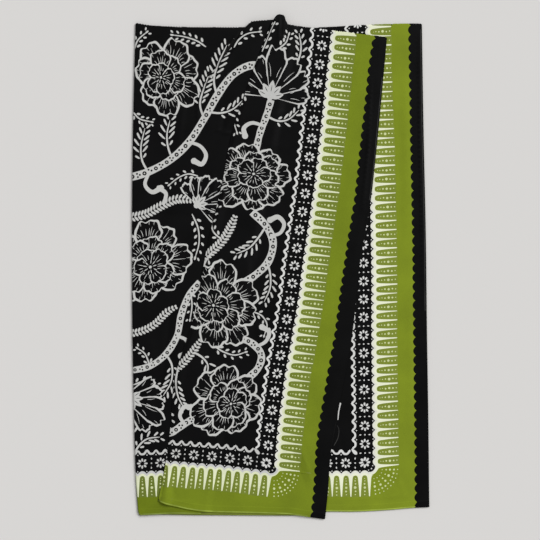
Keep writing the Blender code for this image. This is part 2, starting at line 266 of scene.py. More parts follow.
LEFT_REACH, LEFT_HALF = 3.2, (FRONT_PLY - FLOOR_PLY) / 2
TOP_REACH, TOP_HALF = 1.6, 0.7
FLAP_REACH, FLAP_HALF = 1.3, 0.5
TOP_QUARTER = math.pi / 4 * (TOP_REACH + TOP_HALF)
LEFT_QUARTER = math.pi / 4 * (LEFT_REACH + LEFT_HALF)


def top_edge(v, length):
    """The row that v lies on once the top fold has taken it round, and how far it has come down."""
    past = v - (length - TOP_QUARTER)
    turn = np.clip(past / TOP_QUARTER, 0, 2) * (math.pi / 2)
    row = np.where(past > 0, length - TOP_REACH + TOP_REACH * np.sin(turn), v - (TOP_REACH - TOP_QUARTER) *
                   smooth((v - length + 60) / 60))
    return np.minimum(row, length), TOP_HALF * (1 - np.cos(turn)) * (past > 0)


def front_surface(s, v):
    """The left stretch of the front ply: s is measured from the folded left edge."""
    row, down = top_edge(v, FRONT_LENGTH)
    share = row / FRONT_LENGTH
    inward, turn = rolled(s, LEFT_REACH, LEFT_HALF)
    x = left_edge(FRONT_HEM_Y + share * FRONT_LENGTH) + HALF_SHEET + inward
    bow = (front_top(x) - FRONT_TOP_Y) * smooth((share - 0.87) / 0.13)
    y = front_hem(x) + (FRONT_TOP_Y - front_hem(x)) * share + bow
    z = (FLOOR_PLY + FRONT_PLY) / 2 + LEFT_HALF * np.sin(turn)
    on_top = smooth((z - FLOOR_PLY) / (FRONT_PLY - FLOOR_PLY))
    relief = lift(x, y) + creases(FRONT_CREASES, x, y) + 0.22 * noise(x, y, 1.0, 31.0)
    edge = -0.5 * (0.5 + 0.5 * noise(x, y, 2.0, 40.0)) * (1 - smooth(v / 22.0))
    z = z + on_top * (relief + hem_rise(v) + edge + droop(x, y) - down)
    return np.column_stack([x, y, z])


def flap_frame(v):
    row, down = top_edge(v, FLAP_LENGTH)
    share = row / FLAP_LENGTH
    sx, sy, fx, fy = (column(np.maximum(share, 0)) for column in flap_columns)
    below = np.minimum(row, 0.0)  # what bows down past the straight first row
    along = np.column_stack([sx - fx, sy - fy])
    width = np.linalg.norm(along, axis=1)
    along /= width[:, None]
    fx, fy = fx + 0.106 * below, fy + below
    return share, down, np.column_stack([fx, fy]), along, width


FOLD_RIDGE = straight([(0, 3.4), (30, 3.1), (60, 1.3), (110, 0.5), (170, 0.8), (230, 1.5), (300, 1.0),
                       (370, 0.5), (450, 0.9), (520, 1.3), (600, 1.5), (680, 1.0), (750, 0.4), (830, 0.2),
                       (940, 0.0)])


def flap_surface(u, v):
    """The flap: u runs in from its selvage, and past the fold it runs on as the ply turned back."""
    share, down, fold, along, width = flap_frame(v)
    over = (pleat_under(fold[:, 1]) - fold[:, 0]) / along[:, 0]
    from_fold = width - u
    inward, turn = rolled(from_fold, FLAP_REACH, FLAP_HALF)
    across = HALF_SHEET + inward
    roll_z = UNDERLAY_PLY + FLAP_HALF * (1 + np.sin(turn))
    wide = 1 + 0.9 * (1 - smooth(v / 90.0))
    ridge = smooth((across - 0.8) / (6.4 * wide)) * (1 - smooth((across - 7.0 * wide) / 15.0))
    settle = smooth((across - 1.0) / 6.0) * (from_fold > 0)
    flat_z = np.where(from_fold > 0, FLAP_PLY + ridge * FOLD_RIDGE(v), UNDERLAY_PLY)
    z = roll_z * (1 - settle) + flat_z * settle
    z = z - (FLAP_PLY - FRONT_PLY) * smooth((across - over) / 16.0) * (from_fold > 0)
    upper = smooth((turn + math.pi / 2) / math.pi)
    x = fold[:, 0] + along[:, 0] * across
    y = fold[:, 1] + along[:, 1] * across
    tip = smooth((share - 0.93) / 0.066)
    sides = smooth(across / 12.0) * (1 - smooth((across - 27.0) / 9.0))
    y = y + tip * (tip_reach(across) * upper - 5.0 * (1 - upper))
    relief = creases(FLAP_CREASES, x, y) + 0.2 * noise(x, y, 3.0, 33.0) + 3.0 * tip * sides
    edge = -0.6 * (0.5 + 0.5 * noise(x, y, 5.0, 37.0)) * (1 - smooth(v / 20.0))
    selvage = -0.55 * (0.5 + 0.5 * noise(x, y, 6.0, 45.0)) * (1 - smooth(u / 14.0))
    z = z + (relief + edge + hem_rise(v - hem_bow(across)) - down) * upper
    return np.column_stack([x, y, z + lift(x, y) + selvage + droop(x, y)])


def back_place(u, v, z_flat, lowest, creased, hem_shift=0.0):
    row, down = top_edge(v, BACK_LENGTH)
    share = row / BACK_LENGTH
    y = BACK_HEM_Y + row
    for _ in range(3):
        x = back_right(y) - HALF_SHEET - u
        y = back_hem(x) + hem_shift + (back_top(x) - back_hem(x) - hem_shift) * share
    z = z_flat + creased * (creases(BACK_CREASES, x, y) + 0.18 * noise(x, y, 8.0, 35.0))
    edge = -0.5 * (0.5 + 0.5 * noise(x, y, 9.0, 41.0)) * (1 - smooth(np.minimum(u, v) / 16.0))
    z = z + creased * (edge + hem_rise(v)) - down * (z_flat - lowest) / (2 * TOP_HALF)
    return np.column_stack([x, y, z])


def back_surface(u, v):
    """The back pair's upper ply: u is measured from its selvage."""
    return back_place(u, v, MIDDLE_PLY, FLOOR_PLY + 0.45, 1.0)


def under_surface(u, v):
    """The lowest ply, whose print looks down: u is measured from its selvage."""
    place = back_place(u + 1.0, v, FLOOR_PLY, FLOOR_PLY, 0.0, 1.2)
    place[:, 0] = np.maximum(place[:, 0], left_edge(place[:, 1]) + HALF_SHEET)
    return place


# Turning photograph places into cloth coordinates, so that a motif keeps its shape as it is seen

def to_front(points):
    x, y = np.asarray(points, float).T
    share = (y - front_hem(x)) / (FRONT_TOP_Y - front_hem(x))
    for _ in range(4):
        bow = (front_top(x) - FRONT_TOP_Y) * smooth((share - 0.87) / 0.13)
        share = (y - front_hem(x) - bow) / (FRONT_TOP_Y - front_hem(x))
    inward = x - left_edge(FRONT_HEM_Y + share * FRONT_LENGTH) - HALF_SHEET
    rounded = np.arccos(np.clip(1 - inward / LEFT_REACH, -1, 1)) / (math.pi / 2) * LEFT_QUARTER
    rounded = np.where(inward > 0, rounded, 4 * inward)
    s = np.where(inward < LEFT_REACH, rounded, inward - LEFT_REACH + LEFT_QUARTER)
    return np.column_stack([s, share * FRONT_LENGTH])


def to_flap(points):
    points = np.asarray(points, float)
    v = points[:, 1] - BACK_HEM_Y
    for _ in range(12):
        share, _, fold, along, width = flap_frame(np.minimum(v, FLAP_LENGTH - 4))
        miss = points - fold
        v = v + miss[:, 1] * along[:, 0] - miss[:, 0] * along[:, 1]
    across = miss[:, 0] * along[:, 0] + miss[:, 1] * along[:, 1]
    return np.column_stack([width - across, v])


def to_back(points):
    x, y = np.asarray(points, float).T
    v = (y - back_hem(x)) / (back_top(x) - back_hem(x)) * BACK_LENGTH
    return np.column_stack([back_right(y) - HALF_SHEET - x, v])


# The print

class Print:
    """Shapes in the order that they are painted, each an ink and a closed outline in cloth millimetres."""

    def __init__(self, to_cloth=None):
        self.shapes = []
        self.to_cloth = to_cloth

    def add(self, ink, outline):
        self.shapes.append((ink, np.asarray(outline, float)))

    def place(self, ink, outline):
        """As add, for an outline in world millimetres."""
        self.add(ink, self.to_cloth(np.asarray(outline, float)))


def polar(centre, angle, radius):
    return np.column_stack([centre[0] + radius * np.cos(angle), centre[1] + radius * np.sin(angle)])


def rectangle(left, low, right, high):
    return [(left, low), (right, low), (right, high), (left, high)]


def round_points(centre, radius, n=9, turn=0.0):
    angle = np.arange(n) * 2 * math.pi / n + turn
    return np.column_stack([centre[0] + radius * np.cos(angle), centre[1] + radius * np.sin(angle)])


def oval_points(centre, half_long, half_wide, turn, n=10):
    angle = np.arange(n) * 2 * math.pi / n
    a, b = half_long * np.cos(angle), half_wide * np.sin(angle)
    c, s = math.cos(turn), math.sin(turn)
    return np.column_stack([centre[0] + a * c - b * s, centre[1] + a * s + b * c])


def sides_of(path, half_widths):
    """The two sides of a band along a path."""
    path = np.asarray(path, float)
    tangent = np.gradient(path, axis=0)
    tangent /= np.maximum(np.linalg.norm(tangent, axis=1), 1e-9)[:, None]
    normal = np.column_stack([-tangent[:, 1], tangent[:, 0]])
    width = np.broadcast_to(np.asarray(half_widths, float), len(path))[:, None]
    return path + normal * width, path - normal * width


def band(path, half_widths):
    left, right = sides_of(path, half_widths)
    return np.vstack([left, right[::-1]])


def stroke(path, start, end):
    """A brush stroke that changes width and has rounded ends."""
    share = np.linspace(0, 1, len(path))
    width = start + (end - start) * share
    width = width * np.minimum(1, 0.45 + 5 * np.minimum(share, 1 - share))
    return band(path, width)


# The border: its side to the hem, its side to the selvage, and their corner

LOST_TO_SPIKES = {  # down from a finger's tip, in pixels: its width as a share of the pitch
    "at": (0.0, 0.25, 0.8, 1.8, 3, 6, 10, 15, 19, 20.5, 21.0, 21.4),
    "hem": (0.04, 0.26, 0.42, 0.52, 0.58, 0.64, 0.71, 0.80, 0.86, 0.88, 0.92, 1.0),
    "selvage": (0.04, 0.30, 0.46, 0.57, 0.64, 0.72, 0.79, 0.855, 0.885, 0.90, 0.93, 1.0),
}
EIGHTHS = np.linspace(-1, 1, 9)[:-1]  # places round one scallop
FINGER_DOTS = ((3.2, 0.45), (5.6, 0.58), (8.6, 0.84), (12.3, 1.28), (16.0, 0.88), (19.3, 0.6))
FAN_DOTS = ((9.2, 0.5), (13.2, 0.75), (17.0, 1.2), (21.0, 0.9), (24.6, 0.65))


class Border:
    """One panel's border. Depths run in from the spikes' ends.

    The print lies a little unevenly on the cloth: slip_u and slip_v say by how many pixels, to the
    right and down, along the hem and up the selvage.
    """

    def __init__(self, paint, spike_u, spike_v, slip_u, slip_v, origin_u=None):
        self.paint, self.spike_u, self.spike_v = paint, spike_u, spike_v
        self.origin_u = spike_u + ROSETTE if origin_u is None else origin_u
        self.origin_v = spike_v + ROSETTE
        self.slips = {}
        for side, rows in (("hem", slip_u), ("selvage", slip_v)):
            at, right, down = np.array(rows, float).T
            self.slips[side] = (at, right * PX, down * PX)

    def draw(self, ink, points, side):
        points = np.array(points, float)
        at, right, down = self.slips[side]
        where = points[:, 0] if side == "hem" else points[:, 1]
        moved = [np.interp(where, at, right), np.interp(where, at, down)]
        self.paint.add(ink, points - np.column_stack(moved))

    def side(self, side, first, last, pitch, swing, lean=0.0):
        """Fingers, scallops, rosettes and the wavy line, from one finger to another."""
        spike = self.spike_v if side == "hem" else self.spike_u
        origin = self.origin_u if side == "hem" else self.origin_v
        half = pitch / 2
        white, lobe = (WHITE, LOBE) if side == "hem" else (BRIGHT, PEARL)

        def draw(ink, points):
            points = [(origin + a + lean * (ROSETTE - d), spike + d) for a, d in points]
            self.draw(ink, points if side == "hem" else [point[::-1] for point in points], side)

        scallops = []
        for k in range(first, last + 1):
            swell = (CREST - CUSP) * (1 + 0.04 * math.sin(2.2 * k))
            scallops += [((k + t / 2) * pitch, CUSP + swell * (1 - t * t)) for t in EIGHTHS]
        scallops.append(((last + 0.5) * pitch, CUSP))
        draw(lobe, scallops + [(a, SPIKE_LENGTH - 3) for a, _ in scallops[::-1]])
        draw(SPIKE, [(a, d - 2.6 * PX) for a, d in scallops] + [(a, -0.3) for a, _ in scallops[::-1]])
        from_tip, width = np.array(LOST_TO_SPIKES["at"]) * PX, np.array(LOST_TO_SPIKES[side]) * half
        if first == 0:
            corner_spike = list(zip(width - pitch, SPIKE_LENGTH - from_tip))
            draw(SPIKE, corner_spike + [(0.5 - half, -0.3), (0.5 - half, SPIKE_LENGTH - from_tip[0])])
        for k in range(first, last + 1):
            middle = k * pitch + 0.3 * math.sin(2.9 * k)
            depths = SPIKE_LENGTH - from_tip * (1 + 0.012 * math.sin(1.7 * k))
            draw(FINGER, list(zip(middle + width, depths)) + list(zip(middle - width, depths))[::-1])
            for down, radius in FINGER_DOTS:
                uneven = 1 + 0.1 * math.sin(2.3 * k + down)
                spot = middle + 0.45 * math.sin(1.9 * k + down)
                depth = SPIKE_LENGTH - (down + 0.3 * math.sin(5 * k)) * PX
                draw(DOT, round_points((spot, depth), radius * uneven * PX, 7, k))
            draw(white, round_points((k * pitch + half, CUSP + 2.3 * PX), 0.66 * PX, 6, 0.3 * k))
            if k % 2 == 0:
                self.rosette(draw, k * pitch, k, white)
            else:
                draw(white, round_points((middle, ROSETTE), 0.78 * PX, 7))
                for out in (-1, 1):
                    place = (middle, ROSETTE + out * 4.6 * PX)
                    draw(white, oval_points(place, 0.62 * PX, 1.1 * PX, 0.15 * out, 7))
            if k >= max(first, 2) or first < 0:
                draw(white, round_points((k * pitch + half, WAVE - 2.2 * PX), 0.68 * PX, 6, 0.5 * k))
        turns = np.arange(first + (1.5 if first == 0 else -0.5), last + 0.55, 0.1)
        angle = 2 * math.pi * turns
        depth = WAVE + swing * PX * (-np.cos(angle) + 0.25 * np.cos(2 * angle) + 0.1 * np.sin(2.3 * turns))
        draw(white, band(np.column_stack([turns * pitch, depth]), 1.95 + 0.2 * np.sin(3.3 * turns)))

    def rosette(self, draw, middle, k, white):
        for petal in range(8):
            angle = petal * math.pi / 4 + 0.06 * math.sin(k + petal)
            reach = 3.62 * PX * (1 + 0.035 * math.sin(2.7 * k + 1.9 * petal))
            place = (middle + reach * math.cos(angle), ROSETTE + reach * math.sin(angle))
            draw(white, oval_points(place, 1.7 * PX, 0.98 * PX, angle, 8))

    def corner(self):
        """The rounded white corner, its fan of dots and the drop at the wavy line's corner."""
        u0, v0 = self.spike_u, self.spike_v

        def draw(ink, points):
            self.draw(ink, np.array(points) * PX + (u0, v0), "selvage")

        mid = ROSETTE / PX - 4.5
        outer, edge, inner = (polar((mid, mid), np.linspace(math.pi, 1.5 * math.pi, 9), radius).tolist()
                              for radius in (8.7, 7.6, 5.6))
        draw(LOBE, outer + [(mid + 1, 20), (mid + 1, mid + 1), (20, mid + 1)])
        draw(SPIKE, outer + edge[::-1])
        draw(BLACK, inner + [(mid + 1.2, mid - 5.2), (mid + 1.2, mid + 1.2), (mid - 5.2, mid + 1.2)])
        for place, radius in (((26.0, 29.6), 0.6), ((27.2, 26.7), 0.78), ((30.2, 25.4), 0.6)):
            draw(WHITE, round_points(place, radius, 6))
        for ray in range(9):
            angle = math.radians(3.5 + ray * 10.15)
            for distance, radius in FAN_DOTS if ray % 2 == 0 else FAN_DOTS[3:]:
                place = (25.7 - distance * math.cos(angle), 25.6 - distance * math.sin(angle))
                draw(DOT, round_points(place, radius * (1 + 0.12 * math.sin(5 * ray + distance)), 7))
        drop = []
        for t in np.linspace(0, 2 * math.pi, 14, endpoint=False):
            long, wide = 3.9 * math.cos(t), 2.3 * math.sin(t) * (0.72 - 0.28 * math.cos(t))
            drop.append((44.4 + (long + wide) * 0.707, 44.4 + (long - wide) * 0.707))
        draw(WHITE, drop)

    def whole(self, length, reach_u, strip, strip_pitch, strip_phase, strip_slip, lean=0.0):
        """The border of a panel that shows its selvage: strip is how wide its black scalloped edge is."""
        far = length + 30
        self.paint.add(GREEN, rectangle(-30, -40, reach_u, self.spike_v + 50))
        self.paint.add(GREEN, rectangle(-30, -40, self.spike_u + 50, far))
        self.paint.add(BLACK, rectangle(self.spike_u + CUSP - 8, self.spike_v + CUSP - 8, reach_u, far))
        last_v = int((length + 14 - self.origin_v) / FINGER_ALONG_SELVAGE)
        last_u = int((reach_u - self.origin_u) / FINGER_ALONG_HEM)
        ell = np.array([(0, 0), (29, 0), (29, 24), (24, 24), (24, 29), (0, 29)]) * PX
        self.paint.add(GREEN, ell + (self.spike_u, self.spike_v))
        self.corner()
        self.side("hem", 0, last_u, FINGER_ALONG_HEM, 1.75, lean)
        self.side("selvage", 0, last_v, FINGER_ALONG_SELVAGE, 1.35)
        outline = []
        for k in range(-2, int(length / strip_pitch) + 3):
            for t in EIGHTHS:
                v = strip_phase + (k + t / 2) * strip_pitch
                outline.append((strip(v) * (1 + 0.006 * math.sin(2.1 * k)) - 2.6 * PX * t * t, v))
        outline = np.array(outline)
        at, right, down = np.array(strip_slip).T
        right, down = (np.interp(outline[:, 1], at, row) * PX for row in (right, down))
        outline -= np.column_stack([right, down])
        self.paint.add(BLACK, np.vstack([outline, [(-30, outline[-1, 1]), (-30, outline[0, 1])]]))


# Field motifs: a small set of strokes, drawn by rule and placed one by one

def ray(angle, start, end):
    return polar((0, 0), np.full(3, angle), np.linspace(start, end, 3))


def petal(put, facing, spread, reach, line, seed, strokes, foot):
    """A wide petal with a frilled far edge, and fine strokes from its foot and from its edge."""
    share = np.linspace(-1, 1, 25)
    frill = 0.6 * np.sin(7.4 * share + seed) + 0.4 * np.sin(13.7 * share + 2.1 * seed)
    edge = reach * (1 - 0.26 * np.abs(share) ** 3) * (1 + 0.05 * frill)
    origin = np.zeros(2)
    put(WHITE, np.vstack([polar(origin, facing + spread * share, edge), origin]))
    thick = line * (1 + 0.32 * np.sin(4.3 * share + seed))
    narrow = spread - line / (0.8 * reach)
    put(BLACK, np.vstack([polar(origin, facing + narrow * share, edge - thick), origin]))
    for k in range(strokes):
        spot = (2 * k + 1) / strokes - 1 + 0.07 * math.sin(5 * k + seed)
        angle = facing + 0.84 * spread * spot
        top = float(np.interp(spot, share, edge))
        lift = (top - line - foot) * (0.58 - 0.2 * abs(spot) + 0.16 * math.sin(3 * k + seed))
        steps = np.linspace(0, 1, 4)
        bend = 0.1 * spot * steps**2
        put(WHITE, stroke(polar(origin, angle + bend, foot - 2 + (lift + 2) * steps), 0.72, 0.3))
        if (k + int(seed)) % 2 == 0 and top - foot > 16:
            inner_end = top - line - 0.17 * (top - foot) - 2
            fine = ray(angle + 0.3 * spread / strokes, top - 0.8 * line, inner_end)
            put(WHITE, stroke(fine, 0.7, 0.35))


def blossom(paint, at, radius, petals, turn, seed):
    """A full, open flower: three rings of frilled petals that overlap, and a dotted heart."""
    centre = px([at])[0]
    radius = radius * PX
    cos, sin = math.cos(seed), math.sin(seed)
    spin = np.array([[cos, sin], [-sin, cos]])
    squeeze = spin @ np.diag([1.07, 0.93]) @ spin.T
    rings = ((petals, 0.98, 3.3, 9, 0.63), (petals - 1, 0.68, 2.5, 7, 0.40), (5, 0.42, 1.9, 4, 0.2))
    for ring, (count, size, line, strokes, foot) in enumerate(rings):
        shift = radius * 0.07 * ring * np.array([math.cos(2.3 * seed), math.sin(2.3 * seed)])

        def put(ink, points, shift=shift):
            paint.place(ink, centre + shift + np.asarray(points) @ squeeze)

        for k in (*range(0, count, 2), *range(1, count, 2)):
            facing = turn + 0.5 * ring + 2 * math.pi * k / count + 0.11 * math.sin(3 * k + seed)
            reach = radius * size * (1 + 0.075 * math.sin(5 * k + 2 * seed + ring))
            petal(put, facing, math.pi / count * 1.25, reach, line, seed + 1.7 * k, strokes, foot * radius)
    put(BLACK, round_points((0, 0), 0.17 * radius, 12))
    for k in range(9):
        angle = turn + k * 0.698 + 0.1 * math.sin(4 * k)
        near = radius * (0.075 + 0.02 * math.sin(3 * k))
        put(WHITE, stroke(ray(angle, near, near + 0.09 * radius), 0.7, 1.1))
    put(WHITE, round_points((0, 0), 0.036 * radius, 7))


def side_blossom(paint, at, radius, facing, seed):
    """A half-open flower seen from the side, its petals fanned out from a small cup."""
    base = px([at])[0]
    radius = radius * PX

    def put(ink, points):
        paint.place(ink, base + np.asarray(points))

    for k, offset in enumerate((-78, 78, -50, 50, -25, 25, 0)):
        length = radius * (1.0 - 0.0028 * abs(offset) + 0.05 * math.sin(3 * k + seed))
        petal(put, facing + math.radians(offset), 0.31, length, 3.1, seed + 1.3 * k, 2, 0.46 * radius)
    for offset in (-70, -36, 36, 70, 0):
        angle = facing + math.radians(offset)
        put(WHITE, pointed_petal(np.zeros(2), angle, radius * (0.36 - 0.001 * abs(offset)), radius * 0.075))
        put(BLACK, stroke(ray(angle, 0.12 * radius, 0.25 * radius), 0.8, 0.5))
    put(WHITE, oval_points((0, 0), 7.0, 6.0, facing))


def pointed_petal(base, angle, length, width):
    """A narrow leaf's outline from its foot to its point."""
    share = np.linspace(0, 1, 13)
    half = width * np.sin(np.pi * share**0.86) ** 0.8
    path = np.asarray(base) + share[:, None] * length * np.array([math.cos(angle), math.sin(angle)])
    return band(path, np.maximum(half, 0.12))


def along(path):
    """Reads a place and a direction at a distance along a path."""
    steps = np.concatenate([[0], np.cumsum(np.linalg.norm(np.diff(path, axis=0), axis=1))])

    def read(where):
        spot, ahead = (np.array([np.interp(w, steps, path[:, 0]), np.interp(w, steps, path[:, 1])])
                       for w in (min(where, steps[-1] - 1.5), min(where, steps[-1] - 1.5) + 1.5))
        axis = (ahead - spot) / np.linalg.norm(ahead - spot)
        return spot, axis, np.array([-axis[1], axis[0]]), math.atan2(axis[1], axis[0])

    return read, steps[-1]


def vine(paint, line, half=7.2, taper=1.0):
    """A pale stem with a row of rings, and dots in threes between them."""
    path = flow(px(line), 9)
    share = np.linspace(0, 1, len(path))
    width = half * (1 - (1 - taper) * share) * (1 + 0.05 * np.sin(23 * share))
    paint.place(WHITE, band(path, width))
    read, total = along(path)
    where = 9.0
    while where < total - 5:
        spot, axis, normal, _ = read(where)
        local = float(np.interp(where / total, share, width))
        paint.place(BLACK, round_points(spot, 0.56 * local, 9))
        paint.place(WHITE, round_points(spot, 0.21 * local, 7))
        if where + 17 < total:
            spot, _, normal, _ = read(where + 12)
            for a, b in ((-2.2, -0.45), (-2.2, 0.45), (2.6, 0.0)):
                paint.place(BLACK, round_points(spot + axis * a + normal * b * local, 0.28 * local, 6))
        where += 24


def rope(paint, line, half=9.0):
    """A twisted branch: slanting strands side by side on both sides of its middle."""
    read, total = along(flow(px(line), 9))
    where = 3.0
    while where < total - 2:
        spot, _, normal, turn = read(where)
        grow = min(1.0, 0.45 + (total - where) / 45)
        for side in (-1, 1):
            centre = spot + normal * side * half * 0.5 * grow
            paint.place(WHITE, oval_points(centre, half * 0.62 * grow, 2.35, turn + side * 0.95, 8))
        where += 6.6


def leaf_spray(paint, line, reach):
    """A leaf of thick rods on both sides of a tapering rib, longest near its foot."""
    path = flow(px(line), 8)
    paint.place(WHITE, stroke(path, 2.2, 1.0))
    read, total = along(path)
    rods = max(3, round(0.68 * total / 9.6))
    for k in range(rods):
        share = 0.3 + 0.66 * k / (rods - 1)
        spot, axis, _, turn = read(share * total)
        length = reach * PX * (1.05 - 0.62 * share) * min(1.0, 0.5 + 2.6 * (share - 0.3))
        for side in (-1, 1):
            angle = turn + side * (0.95 - 0.3 * share)
            out = np.array([math.cos(angle), math.sin(angle)])
            bend = (np.linspace(0, 1, 5) ** 2)[:, None] * 0.12 * length * axis
            rod = spot + out * 4.8 + np.linspace(0, 1, 5)[:, None] * length * out + bend
            paint.place(WHITE, stroke(rod, 1.5, 2.2))


def sprig(paint, line, leaflets=7, size=1.0):
    """A fine stem with small oval leaves on both sides."""
    path = flow(px(line), 8)
    paint.place(WHITE, stroke(path, 1.6, 1.0))
    read, total = along(path)
    for k in range(leaflets):
        spot, _, _, turn = read((0.14 + 0.82 * k / (leaflets - 1)) * total)
        grow = size * (1 - 0.3 * k / leaflets)
        for side in (-1, 1):
            angle = turn + side * 1.0
            centre = spot + 8.6 * size * np.array([math.cos(angle), math.sin(angle)])
            paint.place(WHITE, oval_points(centre, 5.0 * grow, 2.7 * grow, turn + side * 0.7, 8))
    paint.place(WHITE, oval_points(path[-1], 4.4 * size, 2.2 * size, turn, 8))


def tendril(paint, line, start=3.0, end=5.2):
    """A curl that swells to a round end."""
    path = flow(px(line), 9)
    share = np.linspace(0, 1, len(path))
    paint.place(WHITE, band(path, start + (end - start) * share**1.5))
    paint.place(WHITE, round_points(path[-1], end * 1.15, 12))


FRONT_FIELD = [  # every place is a pixel of the photograph's frame
    (vine, [(128, 178), (148, 172), (170, 160), (189, 142), (204, 119), (217, 96), (232, 76), (249, 66),
            (266, 66)]),
    (rope, [(128, 218), (146, 214), (163, 205), (178, 199), (194, 201)]),
    (vine, [(200, 282), (188, 297), (181, 316), (177, 336), (166, 354), (150, 366), (130, 371)], 6.6, 0.9),
    (rope, [(128, 334), (142, 331), (155, 324), (167, 312), (178, 306)], 7.5),
    (tendril, [(189, 142), (200, 146), (206, 155), (202, 164), (194, 161)]),
    (tendril, [(150, 171), (145, 184), (152, 192), (161, 188)]),
    (tendril, [(177, 336), (186, 340), (188, 350), (181, 356)]),
    (tendril, [(163, 205), (166, 194), (159, 188)], 3.4, 4.4),
    (leaf_spray, [(204, 119), (200, 104), (204, 88), (210, 72)], 11),
    (leaf_spray, [(217, 96), (214, 80), (219, 62), (227, 45)], 12),
    (leaf_spray, [(208, 112), (221, 113), (233, 109), (243, 100)], 10),
    (leaf_spray, [(172, 158), (168, 147), (167, 134), (170, 120)], 12),
    (leaf_spray, [(148, 172), (142, 160), (141, 146), (145, 128)], 11),
    (leaf_spray, [(166, 354), (172, 366), (171, 382), (163, 396)], 11),
    (leaf_spray, [(133, 458), (138, 447), (147, 439), (160, 437)], 9),
    (sprig, [(198, 176), (188, 174), (178, 178), (169, 185)], 5, 0.8),
    (sprig, [(190, 290), (192, 305), (190, 320)], 4, 0.8),
    (sprig, [(206, 47), (197, 41), (185, 37), (172, 35)], 6, 0.9),
    (sprig, [(234, 48), (239, 40), (248, 34), (260, 32)], 4, 0.9),
    (sprig, [(133, 112), (140, 119), (152, 122)], 4, 0.8),
    (sprig, [(134, 50), (138, 40), (147, 32)], 4, 0.85),
    (sprig, [(192, 214), (198, 228), (199, 243), (195, 258)], 6, 0.95),
    (sprig, [(133, 385), (146, 381), (157, 386)], 4, 0.85),
    (sprig, [(150, 366), (145, 354), (137, 348)], 4, 0.8),
    (side_blossom, (197, 205), 34, math.radians(44), 1.0),
    (blossom, (166, 77), 36, 7, 0.3, 1.4),
    (blossom, (147, 262), 43, 8, 0.9, 2.3),
    (side_blossom, (131, 398), 38, math.radians(-38), 3.0),
]
FLAP_FIELD = [
    (vine, [(271, 100), (266, 117), (260, 133), (256, 150)], 6.6),
    (sprig, [(262, 52), (266, 44), (270, 37), (274, 32)], 4, 0.8),
    (sprig, [(279, 49), (286, 43), (289, 35)], 4, 0.85),
    (vine, [(252, 212), (266, 226), (273, 243), (268, 262), (254, 276), (238, 286)]),
    (vine, [(232, 336), (250, 342), (261, 354), (258, 368), (246, 380)], 7.0),
    (vine, [(160, 435), (172, 432), (184, 424), (198, 416)], 6.8),
    (rope, [(198, 262), (211, 252), (223, 240), (231, 226), (236, 214)]),
    (rope, [(172, 372), (184, 362), (194, 350), (202, 338)], 8.0),
    (tendril, [(264, 126), (252, 123), (244, 128), (245, 136)]),
    (tendril, [(270, 236), (280, 233), (284, 224), (278, 217), (270, 220)]),
    (tendril, [(258, 346), (266, 341), (269, 332), (262, 327)]),
    (tendril, [(186, 426), (180, 416), (184, 407), (191, 407)]),
    (leaf_spray, [(294, 68), (299, 58), (301, 47), (299, 34)], 8),
    (leaf_spray, [(266, 116), (278, 121), (289, 119), (299, 110)], 9),
    (leaf_spray, [(266, 226), (258, 238), (249, 248), (236, 254)], 10),
    (leaf_spray, [(266, 260), (270, 273), (270, 288), (264, 302)], 9),
    (leaf_spray, [(212, 252), (205, 263), (203, 274)], 9),
    (leaf_spray, [(194, 352), (203, 358), (208, 366), (206, 378)], 9),
    (leaf_spray, [(178, 366), (176, 382), (178, 396), (184, 408)], 9),
    (sprig, [(248, 106), (240, 98), (237, 88), (240, 77)], 5, 0.9),
    (sprig, [(238, 106), (234, 120), (237, 133)], 4, 0.85),
    (sprig, [(222, 240), (213, 231), (212, 218), (217, 206)], 5, 0.85),
    (sprig, [(214, 346), (224, 352), (235, 355), (246, 352)], 5, 0.85),
    (sprig, [(254, 312), (262, 316), (267, 325), (264, 336)], 4, 0.8),
    (sprig, [(168, 410), (170, 422), (165, 432)], 4, 0.85),
    (side_blossom, (270, 97), 47, math.radians(80), 2.0),
    (blossom, (250, 178), 39, 8, 0.1, 3.1),
    (blossom, (219, 304), 41, 8, 0.5, 4.2),
    (blossom, (226, 402), 37, 7, 0.7, 5.3),
]
BACK_FIELD = [
    (tendril, [(338.0, 420), (338.8, 411), (340.0, 404)], 0.8, 2.0),
]
UNDER_FIELD = [
    (vine, [(140, 100), (165, 118), (180, 145), (178, 175), (160, 205), (158, 235), (175, 262), (205, 275)]),
    (vine, [(205, 275), (238, 290), (258, 315), (262, 348), (248, 380), (220, 398)]),
    (vine, [(205, 275), (232, 258), (262, 250), (290, 232), (304, 200), (306, 170)]),
    (rope, [(178, 175), (205, 170), (230, 158), (248, 138)]),
    (rope, [(175, 262), (160, 290), (158, 320), (170, 345)]),
    (rope, [(258, 315), (285, 310), (305, 292), (315, 270)]),
    (leaf_spray, [(165, 118), (180, 100), (190, 80), (192, 58)], 12),
    (leaf_spray, [(160, 205), (145, 215), (140, 232), (144, 252)], 11),
    (leaf_spray, [(290, 232), (312, 232), (330, 222), (340, 205)], 12),
    (leaf_spray, [(262, 348), (282, 352), (300, 346), (316, 334)], 12),
    (leaf_spray, [(248, 380), (262, 396), (282, 404), (304, 402)], 12),
    (sprig, [(178, 145), (200, 138), (216, 122), (222, 102)], 8),
    (sprig, [(238, 290), (222, 305), (214, 325), (218, 346)], 8),
    (blossom, (262, 92), 36, 9, 0.4, 1.1),
    (blossom, (216, 208), 34, 8, 0.2, 2.7),
    (blossom, (310, 142), 31, 8, 0.8, 3.5),
    (blossom, (190, 392), 36, 9, 0.1, 4.4),
    (side_blossom, (170, 345), 30, math.radians(250), 2.1),
    (side_blossom, (315, 270), 30, math.radians(60), 3.1),
]


def paint_field(paint, rows):
    for motif, *words in rows:
        motif(paint, *words)


# Cutting the print into a shell

